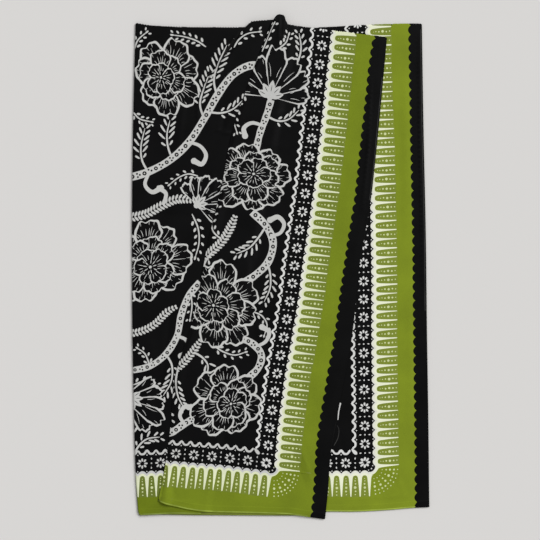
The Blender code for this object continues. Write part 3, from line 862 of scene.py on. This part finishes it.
def inside(outline, spots):
    """Which spots lie inside a closed outline."""
    x, y = spots[:, 0], spots[:, 1]
    odd = np.zeros(len(spots), bool)
    ax, ay = outline[:, 0], outline[:, 1]
    bx, by = np.roll(ax, -1), np.roll(ay, -1)
    for k in range(len(outline)):
        if ay[k] == by[k]:
            continue
        crosses = (ay[k] > y) != (by[k] > y)
        odd ^= crosses & (x < (bx[k] - ax[k]) * (y - ay[k]) / (by[k] - ay[k]) + ax[k])
    return odd


def cut(loop, shapes, spots, lines):
    """Triangles of the cloth inside loop, cut along every shape's outline, and each one's ink."""
    points, edges = [], []

    def chain(outline, closed=True):
        start = len(points)
        points.extend(map(tuple, outline))
        count = len(outline)
        edges.extend((start + k, start + (k + 1) % count) for k in range(count if closed else count - 1))

    chain(loop)
    low, high = loop.min(0) - 2, loop.max(0) + 2
    kept = []
    for ink, outline in shapes:
        if (outline.max(0) < low).any() or (outline.min(0) > high).any():
            continue
        outline = np.clip(outline, low - 40, high + 40)
        kept.append((ink, outline))
        chain(outline)
    for line in lines:
        chain(line, False)
    points.extend(map(tuple, spots))
    verts, _, faces, _, _, _ = delaunay_2d_cdt([Vector(p) for p in points], edges, [], 0, 1e-4, False)
    verts = np.array([(v.x, v.y) for v in verts])
    faces = np.array([f for f in faces if len(f) == 3])
    middle = verts[faces].mean(1)
    a, b, c = verts[faces[:, 0]], verts[faces[:, 1]], verts[faces[:, 2]]
    area = ((b - a)[:, 0] * (c - a)[:, 1] - (b - a)[:, 1] * (c - a)[:, 0]) / 2
    good = inside(loop, middle) & (np.abs(area) > 1e-7)
    faces, middle, area = faces[good], middle[good], area[good]
    faces[area < 0] = faces[area < 0][:, ::-1]
    inks = np.zeros(len(faces), int)
    order = np.argsort(middle[:, 0])
    sorted_x = middle[order, 0]
    for ink, outline in kept:
        first, last = np.searchsorted(sorted_x, [outline[:, 0].min(), outline[:, 0].max()])
        some = order[first:last]
        some = some[(middle[some, 1] > outline[:, 1].min()) & (middle[some, 1] < outline[:, 1].max())]
        if len(some):
            inks[some[inside(outline, middle[some])]] = ink
    used, compact = np.unique(faces, return_inverse=True)
    return verts[used], compact.reshape(-1, 3), inks


def rim_of(faces):
    """The closed line of edges that only one face has, in the faces' own direction."""
    directed = {}
    for a, b, c in faces.tolist():
        for edge in ((a, b), (b, c), (c, a)):
            directed[edge] = True
    following = {a: b for a, b in directed if (b, a) not in directed}
    start = next(iter(following))
    loop = [start]
    while following[loop[-1]] != start:
        loop.append(following[loop[-1]])
    return loop


def grid_in(loop, step):
    """Evenly staggered spots inside a loop, clear of its rim."""
    low, high = loop.min(0), loop.max(0)
    rows = np.arange(low[1] + step * 0.6, high[1] - step * 0.4, step * 0.87)
    spots = []
    for k, y in enumerate(rows):
        xs = np.arange(low[0] + step * (0.6 if k % 2 else 0.2), high[0] - step * 0.3, step)
        spots.append(np.column_stack([xs, np.full(len(xs), y)]))
    spots = np.vstack(spots)
    return spots[inside(loop, spots)]


def normals_at(surface, flat, side):
    step = 0.3
    u, v = flat[:, 0], flat[:, 1]
    du = surface(u + step, v) - surface(u - step, v)
    dv = surface(u, v + step) - surface(u, v - step)
    normal = np.cross(du, dv) * side
    return normal / np.maximum(np.linalg.norm(normal, axis=1), 1e-9)[:, None]


def spaced(loop, step):
    """The loop with points no further apart than step."""
    out = []
    for a, b in zip(loop, np.roll(loop, -1, axis=0)):
        parts = max(1, int(math.ceil(np.linalg.norm(b - a) / step)))
        out.extend(a + (b - a) * k / parts for k in range(parts))
    return np.array(out)


def cloth_shell(name, surface, loop, shapes, side, inks, lines=(), step=5.5, fine=()):
    """A thin closed shell of cloth: printed on its face side, plainer on its wrong side."""
    loop = spaced(np.asarray(loop, float), 5.0)
    fine = [spots[inside(loop, spots)] for spots in fine]
    flat, faces, ink = cut(loop, shapes, np.vstack([grid_in(loop, step), *fine]), lines)
    rim = rim_of(faces)
    sparse = [np.asarray(line, float)[::3] for line in lines]
    wrong_flat, wrong_faces, _ = cut(flat[rim], [], np.vstack([grid_in(loop, 9.0), *sparse]), [])
    wrong_middle = wrong_flat[wrong_faces].mean(1)
    wrong_ink = np.zeros(len(wrong_faces), int)
    for colour, outline in shapes:
        if len(outline) <= 4:
            wrong_ink[inside(outline, wrong_middle)] = colour
    normal, wrong_normal = (normals_at(surface, spots, side) for spots in (flat, wrong_flat))
    points = [surface(*flat.T) + normal * PLY / 2, surface(*wrong_flat.T) - wrong_normal * PLY / 2]
    wrong_rim = rim_of(wrong_faces)
    if len(wrong_rim) != len(rim):
        raise ValueError(f"{name}: the two sides' rims differ, {len(rim)} and {len(wrong_rim)}")
    first = int(np.argmin(np.linalg.norm(wrong_flat[wrong_rim] - flat[rim[0]], axis=1)))
    wrong_rim = [k + len(flat) for k in wrong_rim[first:] + wrong_rim[:first]]
    printed, plain = (faces, wrong_faces[:, ::-1]) if side > 0 else (faces[:, ::-1], wrong_faces)
    corners = printed.tolist() + (plain + len(flat)).tolist()
    ink_of = [inks[k] for k in ink] + [WRONG_INKS[k] for k in wrong_ink]
    edge_ink = {}
    for (a, b, c), colour in zip(faces.tolist(), ink):
        edge_ink[a, b] = edge_ink[b, c] = edge_ink[c, a] = colour
    for a, b, c, d in zip(rim, rim[1:] + rim[:1], wrong_rim[1:] + wrong_rim[:1], wrong_rim):
        corners.append((b, a, d, c) if side > 0 else (a, b, c, d))
        ink_of.append(inks[edge_ink[a, b]])
    mesh = bpy.data.meshes.new(name)
    mesh.from_pydata((np.vstack(points) * MM).tolist(), [], corners)
    used = sorted(set(ink_of), key=lambda material: material.name)
    for material in used:
        mesh.materials.append(material)
    mesh.polygons.foreach_set("material_index", np.array([used.index(m) for m in ink_of], np.int32))
    mesh.shade_smooth()
    mesh.normals_split_custom_set_from_vertices(np.vstack([normal, -wrong_normal]).tolist())
    add_cloth_maps(mesh, flat, wrong_flat, rim)
    return add_object(name, mesh)


def add_object(name, data):
    obj = bpy.data.objects.new(name, data)
    bpy.context.scene.collection.objects.link(obj)
    return obj


def corner_points(mesh):
    points = np.zeros(len(mesh.loops), np.int32)
    mesh.loops.foreach_get("vertex_index", points)
    return points


def add_map(mesh, name, places):
    layer = mesh.uv_layers.new(name=name, do_init=False)
    layer.uv.foreach_set("vector", places.astype(np.float32).ravel())


def add_cloth_maps(mesh, flat, wrong_flat, rim):
    """Two maps: where each point is on the flat cloth in metres, and where a bake puts it."""
    both = np.vstack([flat, wrong_flat])
    corners = corner_points(mesh)
    add_map(mesh, "cloth", both[corners] * MM)
    unit = (both - both.min(0)) / np.ptp(both, axis=0)
    sheet = np.column_stack([0.01 + 0.79 * unit[:, 0], 0.01 + 0.98 * unit[:, 1]])
    sheet[len(flat):, 0] = 0.82 + 0.16 * unit[len(flat):, 0]
    places = sheet[corners]
    first_rim = 3 * (len(mesh.polygons) - len(rim))
    rim_corners = corners[first_rim:].reshape(-1, 4)
    near = (1, 2) if rim_corners[0][1] == rim[0] else (0, 3)
    along = np.linspace(0.01, 0.99, len(rim) + 1)
    for k, quad in enumerate(rim_corners):
        for j, corner in enumerate(quad):
            column = 0.985 if corner < len(flat) else 0.995
            places[first_rim + 4 * k + j] = (column, along[k if j in near else k + 1])
    add_map(mesh, "OFBake", places)


# Materials

THREAD_SCALE = 2 * math.pi / (0.62 * MM) / 20


def cloth_material(name, colour, uneven, uneven_size, sheen=0.02, gloss=0.1, rough=(0.78, 0.9)):
    """Plain-woven cotton with dye that took unevenly."""
    material = bpy.data.materials.new(name)
    material.use_nodes = True
    tree = material.node_tree

    def add(kind, values, output, **settings):
        """A node's output: of its inputs, those given as sockets are linked and the rest are set."""
        node = tree.nodes.new("ShaderNode" + kind)
        for key, value in settings.items():
            setattr(node, key, value)
        connect(node, values)
        return node.outputs[output]

    def connect(node, values):
        for key, value in values.items():
            if isinstance(value, bpy.types.NodeSocket):
                tree.links.new(value, node.inputs[key])
            else:
                node.inputs[key].default_value = value

    def mix(kind, factor, a, b):
        return add("Mix", {"Factor": factor, "A": a, "B": b}, "Result", data_type="RGBA", blend_type=kind)

    def spread(value, low, high, to_low=0.0, to_high=1.0):
        ends = {"From Min": low, "From Max": high, "To Min": to_low, "To Max": to_high}
        return add("MapRange", {"Value": value, **ends}, "Result")

    def cloud(scale, detail):
        return spread(add("TexNoise", {"Scale": scale, "Detail": detail, "Vector": place}, "Fac"), 0.3, 0.7)

    def threads(direction):
        values = {"Scale": THREAD_SCALE, "Distortion": 0.6, "Detail": 1.0, "Detail Scale": 0.4}
        values["Vector"] = flat
        return add("TexWave", values, "Fac", bands_direction=direction)

    place = add("TexCoord", {}, "Object")
    flat = add("UVMap", {}, "UV", uv_map="cloth")
    broad, fine = cloud(1 / (uneven_size * MM), 3.0), cloud(900.0, 2.0)
    shades = [(*np.minimum(1, np.array(colour) * change), 1) for change in (1 - uneven, 1 + uneven)]
    body = mix("MIX", broad, *shades)
    body = mix("MULTIPLY", 1.0, body, mix("MIX", fine, (0.9, 0.9, 0.9, 1), (1.06, 1.06, 1.06, 1)))
    weave = spread(add("Math", {0: threads("X"), 1: threads("Y")}, "Value", operation="ADD"), 0.2, 1.8)
    body = mix("MULTIPLY", 1.0, body, mix("MIX", weave, (0.93, 0.93, 0.93, 1), (1.05, 1.05, 1.05, 1)))
    bump = add("Bump", {"Strength": 0.3, "Distance": 0.12 * MM, "Height": weave}, "Normal")
    connect(tree.nodes["Principled BSDF"], {
        "Base Color": body, "Roughness": spread(broad, 0.0, 1.0, *rough), "Normal": bump,
        "Specular IOR Level": gloss, "Sheen Weight": sheen, "Sheen Roughness": 0.45,
    })
    return material


INKS = {
    BLACK: cloth_material("black_dye", (0.0014, 0.0014, 0.0016), 0.4, 60, 0.015, 0.09, (0.42, 0.58)),
    WHITE: cloth_material("undyed_cotton", (0.62, 0.62, 0.60), 0.03, 40),
    SPIKE: cloth_material("undyed_in_green", (0.83, 0.87, 0.60), 0.05, 22),
    LOBE: cloth_material("undyed_scallop", (0.65, 0.65, 0.64), 0.04, 30),
    # a faint lighter grey for thin lines near the selvages
    GREY_LINE: cloth_material("worn_selvage", (0.045, 0.045, 0.043), 0.4, 25, 0.03),
    DOT: cloth_material("dots_in_green", (0.70, 0.76, 0.40), 0.08, 22),
    BRIGHT: cloth_material("undyed_by_selvage", (0.78, 0.78, 0.76), 0.03, 40),
    PEARL: cloth_material("scallop_by_selvage", (0.87, 0.87, 0.77), 0.04, 30),
}


def with_greens(name, red, green, blue):
    """The inks of one ply: its green is a little lighter or darker than its neighbours'."""
    inks = dict(INKS)
    inks[GREEN] = cloth_material("green_dye_" + name, (red, green, blue), 0.10, 75, 0.01)
    inks[FINGER] = cloth_material("fingers_" + name, (red, 0.96 * green, blue + 0.02), 0.08, 40, 0.01)
    # a paler green along the hem's fold: a painted highlight
    inks[HEM_HIGHLIGHT] = cloth_material("hem_edge_" + name, (red * 1.5, green * 1.45, blue + 0.05), 0.3, 25)
    return inks


FRONT_INKS = with_greens("front", 0.158, 0.209, 0.0100)
FLAP_INKS = with_greens("flap", 0.197, 0.258, 0.0145)
BACK_INKS = with_greens("back", 0.228, 0.296, 0.0180)
BACK_INKS[WHITE], BACK_INKS[LOBE] = INKS[BRIGHT], INKS[PEARL]
BACK_INKS[SPIKE] = cloth_material("spikes_back", (0.93, 0.96, 0.72), 0.05, 22)
WRONG_INKS = dict(FLAP_INKS)
WRONG_INKS[BLACK] = cloth_material("black_wrong_side", (0.010, 0.010, 0.0095), 0.2, 35, 0.02, 0.06)
WRONG_INKS[GREEN] = cloth_material("green_wrong_side", (0.22, 0.27, 0.04), 0.12, 40)


# The pieces

TOP_BEND = TOP_QUARTER * np.array([-1.0, -0.66, -0.33, 0, 0.33, 0.66])
HEM_STEP = (11.4, 12.2, 13.0, 13.8)


def bend_spots(across, length, bend=TOP_BEND):
    """Extra spots along the rows where the top fold turns."""
    return [np.column_stack([across, np.full(len(across), length + down)]) for down in bend]


def hem_step():
    """Lines along the step at the turned hem's inner edge."""
    return [[(1, v), (100, v), (200, v)] for v in HEM_STEP]


def paint_hem_highlight(paint, line):
    """A paler band along the hem's fold: a painted highlight, where the rounded fold catches the light."""
    line = spaced_line(np.array(line, float), 9.0)
    paint.add(HEM_HIGHLIGHT, np.vstack([line + (0, 1.0), line[::-1] + (0, 2.8)]))


def spaced_line(line, step):
    parts = [np.linspace(a, b, max(2, int(np.linalg.norm(b - a) / step)), endpoint=False)
             for a, b in zip(line[:-1], line[1:])]
    return np.vstack(parts + [line[-1:]])


# Rows of a place in millimetres and the print's slip there in pixels, right and down
FLAP_SLIP_U = [(60, 2.0, 1.6), (140, 1.3, 1.5), (208, 0.9, 0.9), (265, 0.8, 1.9), (310, 0.8, 2.8)]
FLAP_SLIP_V = [(80, 2.0, 1.6), (130, 2.5, 2.1), (200, 0.3, 3.4), (285, -2.1, 3.2), (365, -2.0, 3.1),
               (440, 0.3, 3.0), (520, 0.9, 4.2), (600, -0.5, 4.2), (680, -0.7, 3.9), (760, -0.2, 3.2),
               (840, 0.3, 2.1), (910, 1.1, 1.2)]
FLAP_STRIP_SLIP = [(0, 0.6, -0.3), (106, 0.4, -0.5), (203, -1.2, -0.6), (300, -2.1, -0.9), (397, -1.1, -1.2),
                   (494, 0.9, -1.0), (591, -0.1, -0.7), (688, -0.5, -1.0), (785, -0.1, -1.6),
                   (882, -0.1, -3.3)]
BACK_SLIP_U = [(107, -0.2, -0.6), (179, -1.7, -0.6)]
BACK_SLIP_V = [(80, 0.1, -1.2), (280, 0.2, -0.7), (330, 0.4, -0.5), (450, 1.1, 0.6), (600, 1.0, 0.6),
               (690, 1.1, -0.2), (720, 0.8, 0.1), (780, 0.1, -0.3), (860, -0.6, -1.7)]
NO_SLIP = [(0, 0, 0)]


def front_piece():
    paint = Print(to_front)
    paint.add(GREEN, rectangle(-20, -20, 330, 120))
    paint.add(BLACK, rectangle(-20, 34.3 + CUSP - 8, 330, 990))
    Border(paint, 0, 35.3, [(0, 0.4, 0)], NO_SLIP, 8.1 * PX).side("hem", -2, 8, 17.45, 1.75, -0.04)
    paint_field(paint, FRONT_FIELD)
    # a painted highlight along the hem's fold
    paint_hem_highlight(paint, [(0, 0), (290, 0)])
    rows = np.linspace(0, FRONT_LENGTH + TOP_QUARTER * 0.9, 160)
    ends = pleat_under(FRONT_HEM_Y + rows) - left_edge(FRONT_HEM_Y + rows) - 1.2
    start = -LEFT_QUARTER * 1.25
    loop = np.vstack([[(start, 0)], np.column_stack([ends, rows]), [(start, rows[-1])]])
    lines = [np.column_stack([np.full(150, s), np.linspace(3, FRONT_LENGTH - 5, 150)])
             for s in np.linspace(-LEFT_QUARTER, LEFT_QUARTER * 1.3, 9)]
    fine = bend_spots(np.arange(5, 290, 5.0), FRONT_LENGTH)
    fine.append(dense_strip(to_front, [(250, 24), (240, 40), (228, 52), (214, 72), (198, 84)], 16, 2.6))
    shapes = visible_shapes(paint.shapes, lambda c: c[0] < front_shows(c[1]))
    lines += hem_step()
    return cloth_shell("front_stretch_cloth", front_surface, loop, shapes, 1, FRONT_INKS, lines, fine=fine)


def front_shows(v):
    """How far from the left fold the front stretch can be seen, before the flap covers it."""
    fold = float(np.interp(v / FRONT_LENGTH, flap_shares, np.array(FLAP_ROWS)[:, 2]))
    return fold - float(left_edge(FRONT_HEM_Y + v)) + 26


def dense_strip(to_cloth, line, half, step):
    """Extra spots along a sharp crease."""
    left, right = sides_of(flow(px(line), 12), half)
    shares = np.linspace(0, 1, int(2 * half / step) + 1)
    return to_cloth(np.vstack([left * (1 - share) + right * share for share in shares]))


def visible_shapes(shapes, keep):
    """Leaves out small shapes that another ply covers."""
    return [(ink, outline) for ink, outline in shapes
            if len(outline) <= 4 or np.ptp(outline, axis=0).max() > 60 or keep(outline.mean(0))]


def flap_piece():
    paint = Print(to_flap)
    strip = straight([(-20, 15.6 * PX), (120, 15.8 * PX), (400, 16.8 * PX), (760, 16.9 * PX),
                      (870, 16.2 * PX), (915, 14.9 * PX), (937, 12.6 * PX), (960, 12.3 * PX)])
    border = Border(paint, 31.8 * PX, 34.3, FLAP_SLIP_U, FLAP_SLIP_V)
    border.whole(FLAP_LENGTH, 345, strip, 17.55, 3.0, FLAP_STRIP_SLIP, 0.028)
    border.draw(SPIKE, [(63, 934.2), (101, 933.9), (101, 962), (63, 962)], "selvage")
    paint_field(paint, FLAP_FIELD)
    # a faint lighter grey line just in from the selvage
    paint.add(GREY_LINE, band(flow([(2.6, 620), (2.3, 700), (2.8, 780), (2.4, 858)], 6), 0.55))

    def widths(rows):
        return flap_frame(np.asarray(rows, float))[-1]

    top = FLAP_LENGTH + TOP_QUARTER * 0.9
    rows = np.linspace(4, top, 190)
    _, _, fold, along, width = flap_frame(rows)
    over = (pleat_under(fold[:, 1]) - fold[:, 0]) / along[:, 0]
    far = np.column_stack([width + np.minimum(over - 1.0, 60), rows])
    hem_width = widths([0])[0]
    across = np.linspace(0, 322, 90)
    hem = np.column_stack([hem_width - across, hem_bow(across)])
    # a painted highlight along the hem's fold
    paint_hem_highlight(paint, hem[hem[:, 0] > 27][::4])
    under_hem = [(far[0, 0], 1.5), (hem_width + 1.0, 0.5)]
    loop = np.vstack([[(0, 0.0)], [(0, top)], far[::-1], under_hem, hem[:-1]])
    stations = np.linspace(6, FLAP_LENGTH - 6, 170)
    lines = [np.column_stack([widths(stations) - inward, stations])
             for inward in (*np.linspace(-1.4, 1.4, 9), 2.2, 3.3, 4.6, 6.0, 7.6, 9.6, 12.2, 15.6, 20)]
    lines += [hem[6:-6] + (0, v) for v in HEM_STEP]
    fine = bend_spots(np.arange(4, 300, 4.0), FLAP_LENGTH)
    tip_u, tip_v = np.meshgrid(np.arange(180, 262, 2.4), np.arange(862, FLAP_LENGTH - 1, 2.4))
    fine.append(np.column_stack([tip_u.ravel(), tip_v.ravel()]))
    for row in FLAP_LENGTH + np.array([-2.0 * TOP_QUARTER, *TOP_BEND]):
        fine.append(np.column_stack([widths([row]) - np.arange(2.5, 36, 1.4), np.full(24, row)]))
    fine.append(dense_strip(to_flap, [(268, 26), (262, 46), (252, 74), (244, 96)], 14, 3.0))
    shown = widths(stations) + 9
    shapes = visible_shapes(paint.shapes, lambda c: c[0] < float(np.interp(c[1], stations, shown)))
    return cloth_shell("flap_cloth", flap_surface, loop, shapes, -1, FLAP_INKS, lines, fine=fine)


def back_piece():
    paint = Print(to_back)
    strip = straight([(-20, 14.3 * PX), (120, 14.0 * PX), (400, 13.5 * PX), (960, 13.4 * PX)])
    border = Border(paint, 30.4 * PX, 27.9, BACK_SLIP_U, BACK_SLIP_V)
    border.whole(BACK_LENGTH, 260, strip, 17.72, 1.9, [(0, -0.6, 0)])
    paint_field(paint, BACK_FIELD)
    # a short faint grey stroke
    paint.place(GREY_LINE, stroke(flow(px([(334, 446), (338, 438), (339, 430), (337, 425)]), 6), 0.8, 0.5))
    # a painted highlight along the hem's fold
    paint_hem_highlight(paint, [(27, 0), (230, 0)])
    # a faint lighter grey line just in from the selvage
    paint.add(GREY_LINE, band(flow([(3.2, 380), (2.6, 520), (3.0, 700), (2.6, 925)], 8), 0.6))
    loop = back_loop(BACK_LENGTH + TOP_QUARTER * 0.9, lambda y: back_right(y) - tuck_line(y) - 0.5)
    fine = bend_spots(np.arange(3, 200, 4.0), BACK_LENGTH)
    flap_selvage = curve([(row[1], row[0]) for row in FLAP_ROWS])

    def shows(c):
        y = BACK_HEM_Y + c[1]
        return c[1] > 912 or float(back_right(y)) - c[0] > float(flap_selvage(y)) - 14

    shapes = visible_shapes(paint.shapes, shows)
    lines = hem_step()
    return cloth_shell("back_stretch_cloth", back_surface, loop, shapes, -1, BACK_INKS, lines, fine=fine)


def back_loop(top, width):
    """The outline of a ply of the back pair, from its selvage to this width at each row's y."""
    rows = np.linspace(0, top, 120)
    return np.vstack([[(0, 0)], [(0, top)], np.column_stack([width(BACK_HEM_Y + rows), rows])[::-1]])


def under_piece():
    mirror = Print(to_back)
    strip = straight([(-20, 14.3 * PX), (960, 13.4 * PX)])
    Border(mirror, 30.4 * PX, 29.0, NO_SLIP, NO_SLIP).whole(BACK_LENGTH, 600, strip, 17.5, 6.0, NO_SLIP)
    paint_field(mirror, UNDER_FIELD)
    loop = back_loop(BACK_LENGTH + TOP_QUARTER * 0.4, lambda y: back_right(y) - left_edge(y) - 4.6)
    return cloth_shell("under_cloth", under_surface, loop, mirror.shapes, 1, BACK_INKS, step=9.0)


INNER_HEM_Y, INNER_LENGTH = -477.0, 936.0


def inner_fold_piece():
    """The front pair's lower ply, the back pair's upper one and the fold between them."""
    rows = np.concatenate([[0, 3, 6, 10, 15, 22], np.linspace(35, 925, 70), [930, 934, INNER_LENGTH]])
    rows = rows[:, None]
    y_mid = INNER_HEM_Y + rows
    half, reach = (INNER_PLY - MIDDLE_PLY) / 2, 1.3
    start = left_edge(y_mid) + 3.9 + reach
    angle = np.radians([60, 30, 0, -30, -60])
    x = np.hstack([start + (inner_right(y_mid) - start) * np.linspace(1, 0, 60),
                   start - reach * np.cos(angle),
                   start + (tuck_line(y_mid) - 1.0 - start) * np.linspace(0, 1, 40)])
    z = np.hstack([np.full(60, INNER_PLY), MIDDLE_PLY + half * (1 + np.sin(angle)),
                   np.full(40, MIDDLE_PLY - 0.05)])
    upper = np.hstack([np.ones(60), 0.5 + angle / math.pi, np.zeros(40)])
    low = upper * inner_hem(x) + (1 - upper) * (back_hem(x) + 0.2)
    high = upper * inner_top(x) + (1 - upper) * back_top(x) - 2.6
    y = low + (high - low) * rows / INNER_LENGTH
    z = z + (0.22 * noise(x, y, 4.0 + upper, 37.0) + 1.1 * droop(x, y)) * upper
    points = np.stack([x, y, z], -1).reshape(-1, 3) * MM
    across = len(upper)
    first = (np.arange(len(rows) - 1)[:, None] * across + np.arange(across - 1)).reshape(-1, 1)
    mesh = bpy.data.meshes.new("inner_plies")
    mesh.from_pydata(points.tolist(), [], (first + (0, 1, across + 1, across)).tolist())
    mesh.materials.append(WRONG_INKS[BLACK])
    mesh.materials.append(WRONG_INKS[GREEN])
    mesh.polygons.foreach_set("material_index", np.repeat(rows[:-1] < 60, across - 1).astype(np.int32))
    mesh.shade_smooth()
    add_map(mesh, "cloth", points[corner_points(mesh), :2])
    obj = add_object("inner_plies", mesh)
    thick = obj.modifiers.new("Ply", "SOLIDIFY")
    thick.thickness = 0.42 * MM
    thick.offset = 0.0
    return obj


def inner_right(y):
    """The right edge of the ply inside the front pair: a little short of the flap's selvage."""
    rows = np.array(FLAP_ROWS)
    return np.interp(y, rows[:, 1], rows[:, 0]) - 1.4


front = front_piece()
flap = flap_piece()
back = back_piece()
under = under_piece()
inner = inner_fold_piece()

for piece, slot in ((front, "printed_front"), (flap, "printed_flap"), (back, "printed_back"),
                    (under, "inner_cloth"), (inner, "inner_cloth")):
    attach(piece, "root")
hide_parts("front_stretch")
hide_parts("flap_stretch")
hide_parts("back_stretch")
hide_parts("hidden_layers")


# Floor, light and camera

def stage_floor():
    mesh = bpy.data.meshes.new("floor")
    mesh.from_pydata([(-4, -4, 0), (4, -4, 0), (4, 4, 0), (-4, 4, 0)], [], [(0, 1, 2, 3)])
    floor = add_object("floor", mesh)
    floor.location.z = -0.0002
    material = bpy.data.materials.new("pale_floor")
    material.use_nodes = True
    shader = material.node_tree.nodes["Principled BSDF"]
    shader.inputs["Base Color"].default_value = (0.776, 0.762, 0.746, 1)
    shader.inputs["Roughness"].default_value = 0.9
    shader.inputs["Specular IOR Level"].default_value = 0.1
    mesh.materials.append(material)


stage_floor()
sun_data = bpy.data.lights.new("key", "SUN")
sun_data.energy = 2.15
sun_data.angle = math.radians(32)
sun = add_object("key", sun_data)
sun.rotation_euler = Vector((0.60, 0.46, 0.66)).to_track_quat("Z", "Y").to_euler()
world = bpy.data.worlds.new("studio")
world.use_nodes = True
world.node_tree.nodes["Background"].inputs["Color"].default_value = (1, 1, 1, 1)
world.node_tree.nodes["Background"].inputs["Strength"].default_value = 0.432
bpy.context.scene.world = world
bpy.context.scene.view_settings.view_transform = "Standard"

camera_data = bpy.data.cameras.new("camera")
camera_data.lens = 100
camera_data.sensor_width = 36
camera_data.clip_end = 20
camera = add_object("camera", camera_data)
middle = px([(270, 270)])[0] * MM
camera.location = (middle[0], middle[1], 0.005 + 540 * PX * MM * 100 / 36)
bpy.context.scene.camera = camera
